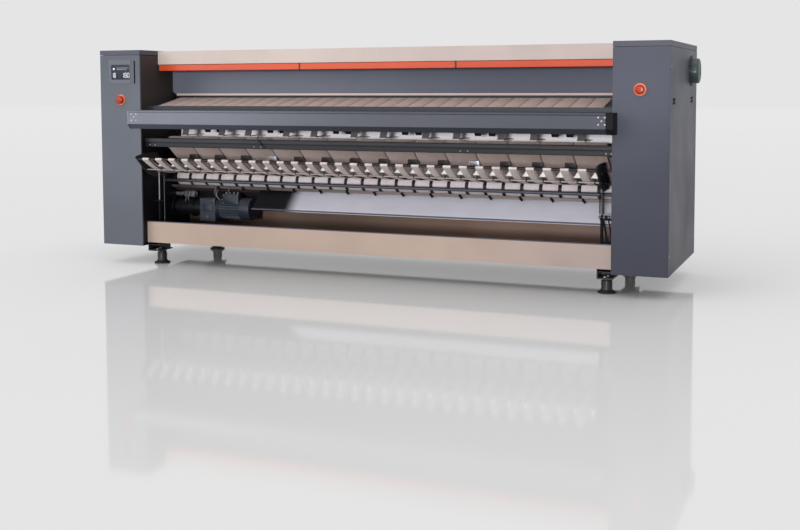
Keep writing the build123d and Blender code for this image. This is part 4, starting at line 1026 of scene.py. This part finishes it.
for ring_r in (22, 38, 54, 70):
    wire = [(1.5, ring_r), (0, ring_r + 1.5), (-1.5, ring_r), (0, ring_r - 1.5)]
    motor_shapes.append(turned((motor_right - 1.5, motor_y, motor_z), "+x", wire, 32, close=True))
for turn in np.arange(4) * np.pi / 4:
    y, z = 71 * np.cos(turn), 71 * np.sin(turn)
    spoke = [(motor_right - 2, motor_y - y, motor_z - z), (motor_right - 1, motor_y, motor_z),
             (motor_right - 2, motor_y + y, motor_z + z)]
    motor_shapes.append(pipe(spoke, 1.6, 6, 8))
motor_shapes.append(plate((-1218, 470, 132, 70, 8), 400, 56, 1, 3))
motor_shapes.append(plate((-1218, 470, 136, 74, 8), 394, 7, 1, 2))
eye_line = [(-1245 + 14 * np.cos(a), motor_y, motor_z + 92 + 14 * np.sin(a))
            for a in np.linspace(0, 2 * np.pi, 25)]
motor_shapes.append(pipe(eye_line, 4, rows=40))
piece("drive_motor_cast", motor_shapes, "motor_paint", "drive_motor")

# %% [markdown]
# The worm gearbox stays as its solid, and gets what is bolted to it: a face plate with four bolts and an
# oil plug, a ring of bolts round the output shaft, and ribs. Bolts of one kind are one turned shape, copied.

# %% Gearbox fittings
front_bolts = [(x, 380, z) for x in (-1464, -1355) for z in (304, 458)]
eighths = np.arange(8) * np.pi / 4
shaft_bolts = [(-1585, motor_y + 60 * np.cos(a), motor_z + 60 * np.sin(a)) for a in eighths]
oil_plug = [(0, 13), (3, 13), (3, 9), (9, 9), (10, 8), (10, 0)]
fittings = [copies(turned((0, 0, 0), "-y", bolt(6.5, 5), 6), front_bolts),
            turned((-1409, 380, 330), "-y", oil_plug, 6),
            copies(turned((0, 0, 0), "-x", bolt(6, 5), 6), shaft_bolts)]
piece("gearbox_bolts", fittings, "bolt_steel")
gear_shapes = [plate((-1409, 400, 84, 60, 8), 376.5, 4, 1, 1.5)]
gear_shapes += [plate((465, z, 150, 6, 2.5), -1481, 6, 0, 1.5) for z in (320, 350, 440)]
piece("gearbox_cover", gear_shapes, "cast_paint")

# %% [markdown]
# The valve block works the comb's lift. Three solenoid valves stand in a row on the block, each a small
# rounded body with a coil before it, and short stiff pipes, bent to shape, lead away to the wall and down
# to the base. They are smooth curves through a few places. Glands and screws sit on the terminal box.

# %% Valves, air pipes and glands
valve_shapes = []
for x in (-1629, -1601, -1573):
    valve_shapes.append(plate((x, 497, 23, 34, 4), 412, 20, 1, 2))
    valve_shapes.append(turned((x, 412, 497), "-y", [(0, 9), (8, 9), (9, 8), (12, 5), (14, 5), (14, 0)], 16))
piece("valve_coils", valve_shapes, "bolt_steel")
pipe_runs = [
    [(-1642, 440, 500), (-1665, 436, 508), (-1685, 440, 494), (-1705, 446, 500), (-1727, 450, 492)],
    [(-1642, 455, 488), (-1668, 452, 490), (-1690, 456, 478), (-1727, 456, 484)],
    [(-1630, 432, 474), (-1628, 425, 455), (-1636, 428, 436), (-1630, 440, 405), (-1634, 455, 380)],
    [(-1612, 432, 474), (-1612, 428, 462), (-1606, 430, 448), (-1610, 440, 430)],
    [(-1556, 440, 505), (-1540, 432, 512), (-1532, 430, 500), (-1540, 436, 486)],
    [(-1330, 420, 470), (-1345, 400, 492), (-1352, 392, 520), (-1340, 400, 560)],
    [(-1286, 412, 470), (-1305, 396, 462), (-1325, 386, 480), (-1334, 388, 512), (-1322, 400, 548)],
    [(-1240, 420, 505), (-1242, 412, 530), (-1236, 414, 556)],
]
piece("air_pipes", [pipe(run, 3.2, rows=22) for run in pipe_runs], "post_steel")
box_glands = [turned((x, 428, 505), "+z", [(0, 9), (5, 9), (5, 7), (14, 7), (15, 5), (15, 0)], 12)
              for x in (-1270, -1240, -1205, -1172)]
box_glands += [turned((x, 394, z), "-y", [(0, 4.5), (2.5, 4), (3, 2.5), (3, 0)], 10)
               for x in (-1277, -1159) for z in (441, 499)]
box_glands += [turned((-1286, 428, z), "-x", [(0, 9), (6, 9), (6, 7), (15, 7), (16, 0)], 12)
               for z in (462, 486)]
piece("terminal_glands", box_glands, "post_steel")

# %% [markdown]
# ## Fan motor and grips
# The fan motor's drum stands out of the right pillar, on a flat ring. It has a rolled seam, a chamfered end
# and slots for its own cooling air, drawn by the same kind of stepped radius as the fins.

# %% Fan motor
fan_y, fan_z, slot_count, slot_depth = 870, 1404, 24, 1.6
drum_turn = np.linspace(0, 2 * np.pi, 144, endpoint=False)
drum = np.array([(2030, 76), (2076, 76), (2076, 81), (2084, 83), (2092, 83), (2093, 81.5), (2095, 81.5),
                 (2096, 83), (2104, 83), (2121, 83), (2127, 79), (2129.6, 72), (2130, 60), (2128, 58),
                 (2128, 30), (2130, 28), (2130, 1)])
slotted = np.isin(np.arange(len(drum)), (8, 9))[:, None]
drum_r = drum[:, 1:] - slot_depth * slotted * (np.sin(drum_turn * slot_count) > 0.2)
drum_shape = grid(place(drum[:, :1], fan_y + drum_r * np.cos(drum_turn), fan_z + drum_r * np.sin(drum_turn)))
piece("fan_motor_drum", [drum_shape], "fan_paint", "fan_motor")
ring_profile = [(0, 84), (0, 102), (5, 102), (8, 99), (8, 84)]
ring_shapes = [turned((pillar_out, fan_y, fan_z), "+x", ring_profile, 64, close=True)]
ring_shapes += [turned((pillar_out + 8, fan_y + 93 * np.cos(a), fan_z + 93 * np.sin(a)), "+x",
                       bolt(4, 3, 0.5), 10) for a in eighths + 0.2]
piece("fan_ring", ring_shapes, "black_plastic")

# %% [markdown]
# The oblong openings in the side covers are hand grips to lift the covers off. Behind each sits a black
# plastic cup, so that no hand and no lint gets in. Its loops run down the inside and back up the outside.

# %% Grip cups
cup_loops = [(98, 38, 0.5), (94, 34, 1.5), (90, 30, 26), (86, 26, 28), (40, 8, 28)]
cup_loops += [(w + 4, h + 4, depth + 2) for w, h, depth in cup_loops[::-1]]
unit = rounded_outline(0, 0, 1, 1, 0.16, 5)
cups = []
for side in (-1, 1):
    for y, z in ((145, 1210), (897, 1212)):
        loops = [place(side * (pillar_out - 3 - depth), y + unit[:, 0] * w, z + unit[:, 1] * h)
                 for w, h, depth in cup_loops]
        cups.append(grid(np.stack(loops), close_rows=True))
piece("grip_cups", cups, "black_plastic")

# %% [markdown]
# ## Feet and lift
# A levelling foot is a rubber-soled disc, a spindle and a lock nut under the plate. It is one profile round
# an upright axis. The nut is the same idea with six steps round the circle.

# %% Levelling feet
foot_profile = [(0, 50), (0, 57), (3, 58), (8, 58), (10, 56), (13, 48), (18, 42), (22, 37.5), (26, 36),
                (30, 36), (31, 35), (60, 35), (61, 36.5), (64, 36.5), (65, 35), (78, 35), (80, 33), (82, 30),
                (84, 30), (84, 22), (99.8, 22)]
nut_profile = [(85, 25), (85, 33), (86, 35), (97, 35), (98, 33), (98, 25)]
feet = [turned((x, y, 0), "+z", profile, steps) for x in (-foot_x, foot_x) for y in foot_places
        for profile, steps in ((foot_profile, 40), (nut_profile, 6))]
piece("levelling_feet_turned", feet, "foot_steel", "levelling_feet", sharp=25)

# %% [markdown]
# The comb is lifted by a thin rod in a barrel at each side, with a collar on the barrel. On the left a post
# stands beside it and a level bar ties it to the side frame. On the right a pair of flat links hangs down
# to a block, from which two slanting struts lead down into the base. The links move with the lift. The
# block, its bolts, the struts and the post don't.

# %% Lift collars, links and struts
lift_left, lift_right, lift_y = comb_x - comb_half + 14, comb_x + comb_half - 14, 165
post_x, block_y, block_z = lift_left + 44, 141, 481
collar = [(0, 10.2), (0, 14), (12, 14), (14, 12), (14, 10.2)]
lift_shapes = [turned((x, lift_y, 458), "+z", collar, 20, close=True) for x in (lift_left, lift_right)]
for x, radius in ((lift_right + 10, 6.5), (lift_right + 42, 5)):
    lift_shapes.append(pipe([(x, lift_y, 462), (x + 14, 160, 395), (x + 27, 155, 318)], radius, 10, 14))
strut_foot = [(0, 0), (0, 8), (4, 9), (56, 9), (60, 8), (60, 0)]
lift_shapes.append(turned((lift_right + 20, 150, 322), "+x", strut_foot, 14))
lift_shapes.append(plate((lift_right + 20, block_z, 74, 20, 6), block_y, 9, 1, 2))
piece("lift_struts", lift_shapes, "beam_black")
post_shapes = [pipe([(post_x, lift_y, z) for z in (655, 480, 300)], 5, 10, 8),
               pipe([(x, lift_y, 464) for x in (-1727, -1690, post_x - 10)], 5.5, 10, 8)]
piece("lift_post", post_shapes, "black_steel")
block_bolts = [turned((lift_right + dx, block_y, block_z), "-y", bolt(7, 5), 6) for dx in (-8, 18, 48)]
piece("lift_bolts", block_bolts, "bolt_steel")
link_shapes = [plate((lift_right + dx, 592, 7, 190, 3), 155, 8, 1, 1.5) for dx in (-12, 12)]
piece("lift_links", link_shapes, "beam_black", body="lift")

# %% [markdown]
# ## Back and top
# The photo doesn't show the back, so it is the usual one for such a machine. The rear cover is three
# lift-off panels with a bow handle each and two rows of louvres. A louvre is half of an ellipsoid pressed
# out of the sheet, pulled down at its lower edge. Battens cover the cover's seams.

# %% Louvres, handles and battens of the back
rear_y, panel_places = 1109, (-1150, 0, 1150)
louvre_turn, louvre_rise = np.meshgrid(np.linspace(0, 2 * np.pi, 24, endpoint=False),
                                       np.linspace(0, np.pi / 2, 6))
reach_out, stand_out = np.cos(louvre_rise), np.sin(louvre_rise)
louvre = grid(place(70 * reach_out * np.cos(louvre_turn), 7 * stand_out,
                    6 * reach_out * np.sin(louvre_turn) - 4 * stand_out))
louvre_steps = [(panel + column, rear_y, row) for panel in panel_places for column in (-260, 260)
                for row in np.arange(8) * 24 + 420]
pressings = [copies(louvre, louvre_steps)]
battens = [(x, 910, 26, 1290, 5) for x in (-575, 575)] + [(0, 1545, 3440, 22, 4)]
pressings += [plate(rectangle, rear_y - 0.2, 2.6, 1, 0.8) for rectangle in battens]
piece("rear_cover_pressings", pressings, "cream_paint")
rear_metal = [pipe([(x - 60, rear_y, 1340), (x - 60, 1128, 1342), (x - 50, 1140, 1344), (x + 50, 1140, 1344),
                    (x + 60, 1128, 1342), (x + 60, rear_y, 1340)], 5, 10, 30) for x in panel_places]
rear_metal += [turned((x + dx, rear_y, 1340), "+y", bolt(11, 3, 1, 2), 16)
               for x in panel_places for dx in (-60, 60)]
rear_metal += [screw_head((x, rear_y, z), "+y", 6, 2.2) for x in (-1690, -620, -530, 530, 620, 1690)
               for z in (290, 700, 1100, 1500)]
piece("rear_cover_metal", rear_metal, "plain_steel")

# %% [markdown]
# The pillars' back panels have cooling slots near the foot, each a thin black plate on the panel whose black
# is painted shade in the opening, and screws at the corners. The three supply inlets get their lock nuts.

# %% Pillar backs and inlets
back_y, back_x = 1124, 1901
back_slots = [plate((side * back_x + dx, 300 + 16 * i, 90, 7, 3.4), back_y - 0.4, 1.2, 1, 0.3)
              for side in (-1, 1) for dx in (-55, 55) for i in range(7)]
piece("pillar_back_slot_shade", back_slots, "black_plastic")
back_metal = [screw_head((side * back_x + dx, back_y, z), "+y", 6, 2.2)
              for side in (-1, 1) for dx in (-155, 155) for z in (180, 700, 1180, 1510)]
for x, r in ((-1960, 21), (-1880, 14), (-1800, 10)):
    lock_nut = [(0, r + 1), (0, r + 5), (6, r + 5), (7, r + 3), (7, r + 1)]
    back_metal.append(turned((x, back_y + 12, 420), "+y", lock_nut, 6, close=True))
piece("back_panel_metal", back_metal, "plain_steel")
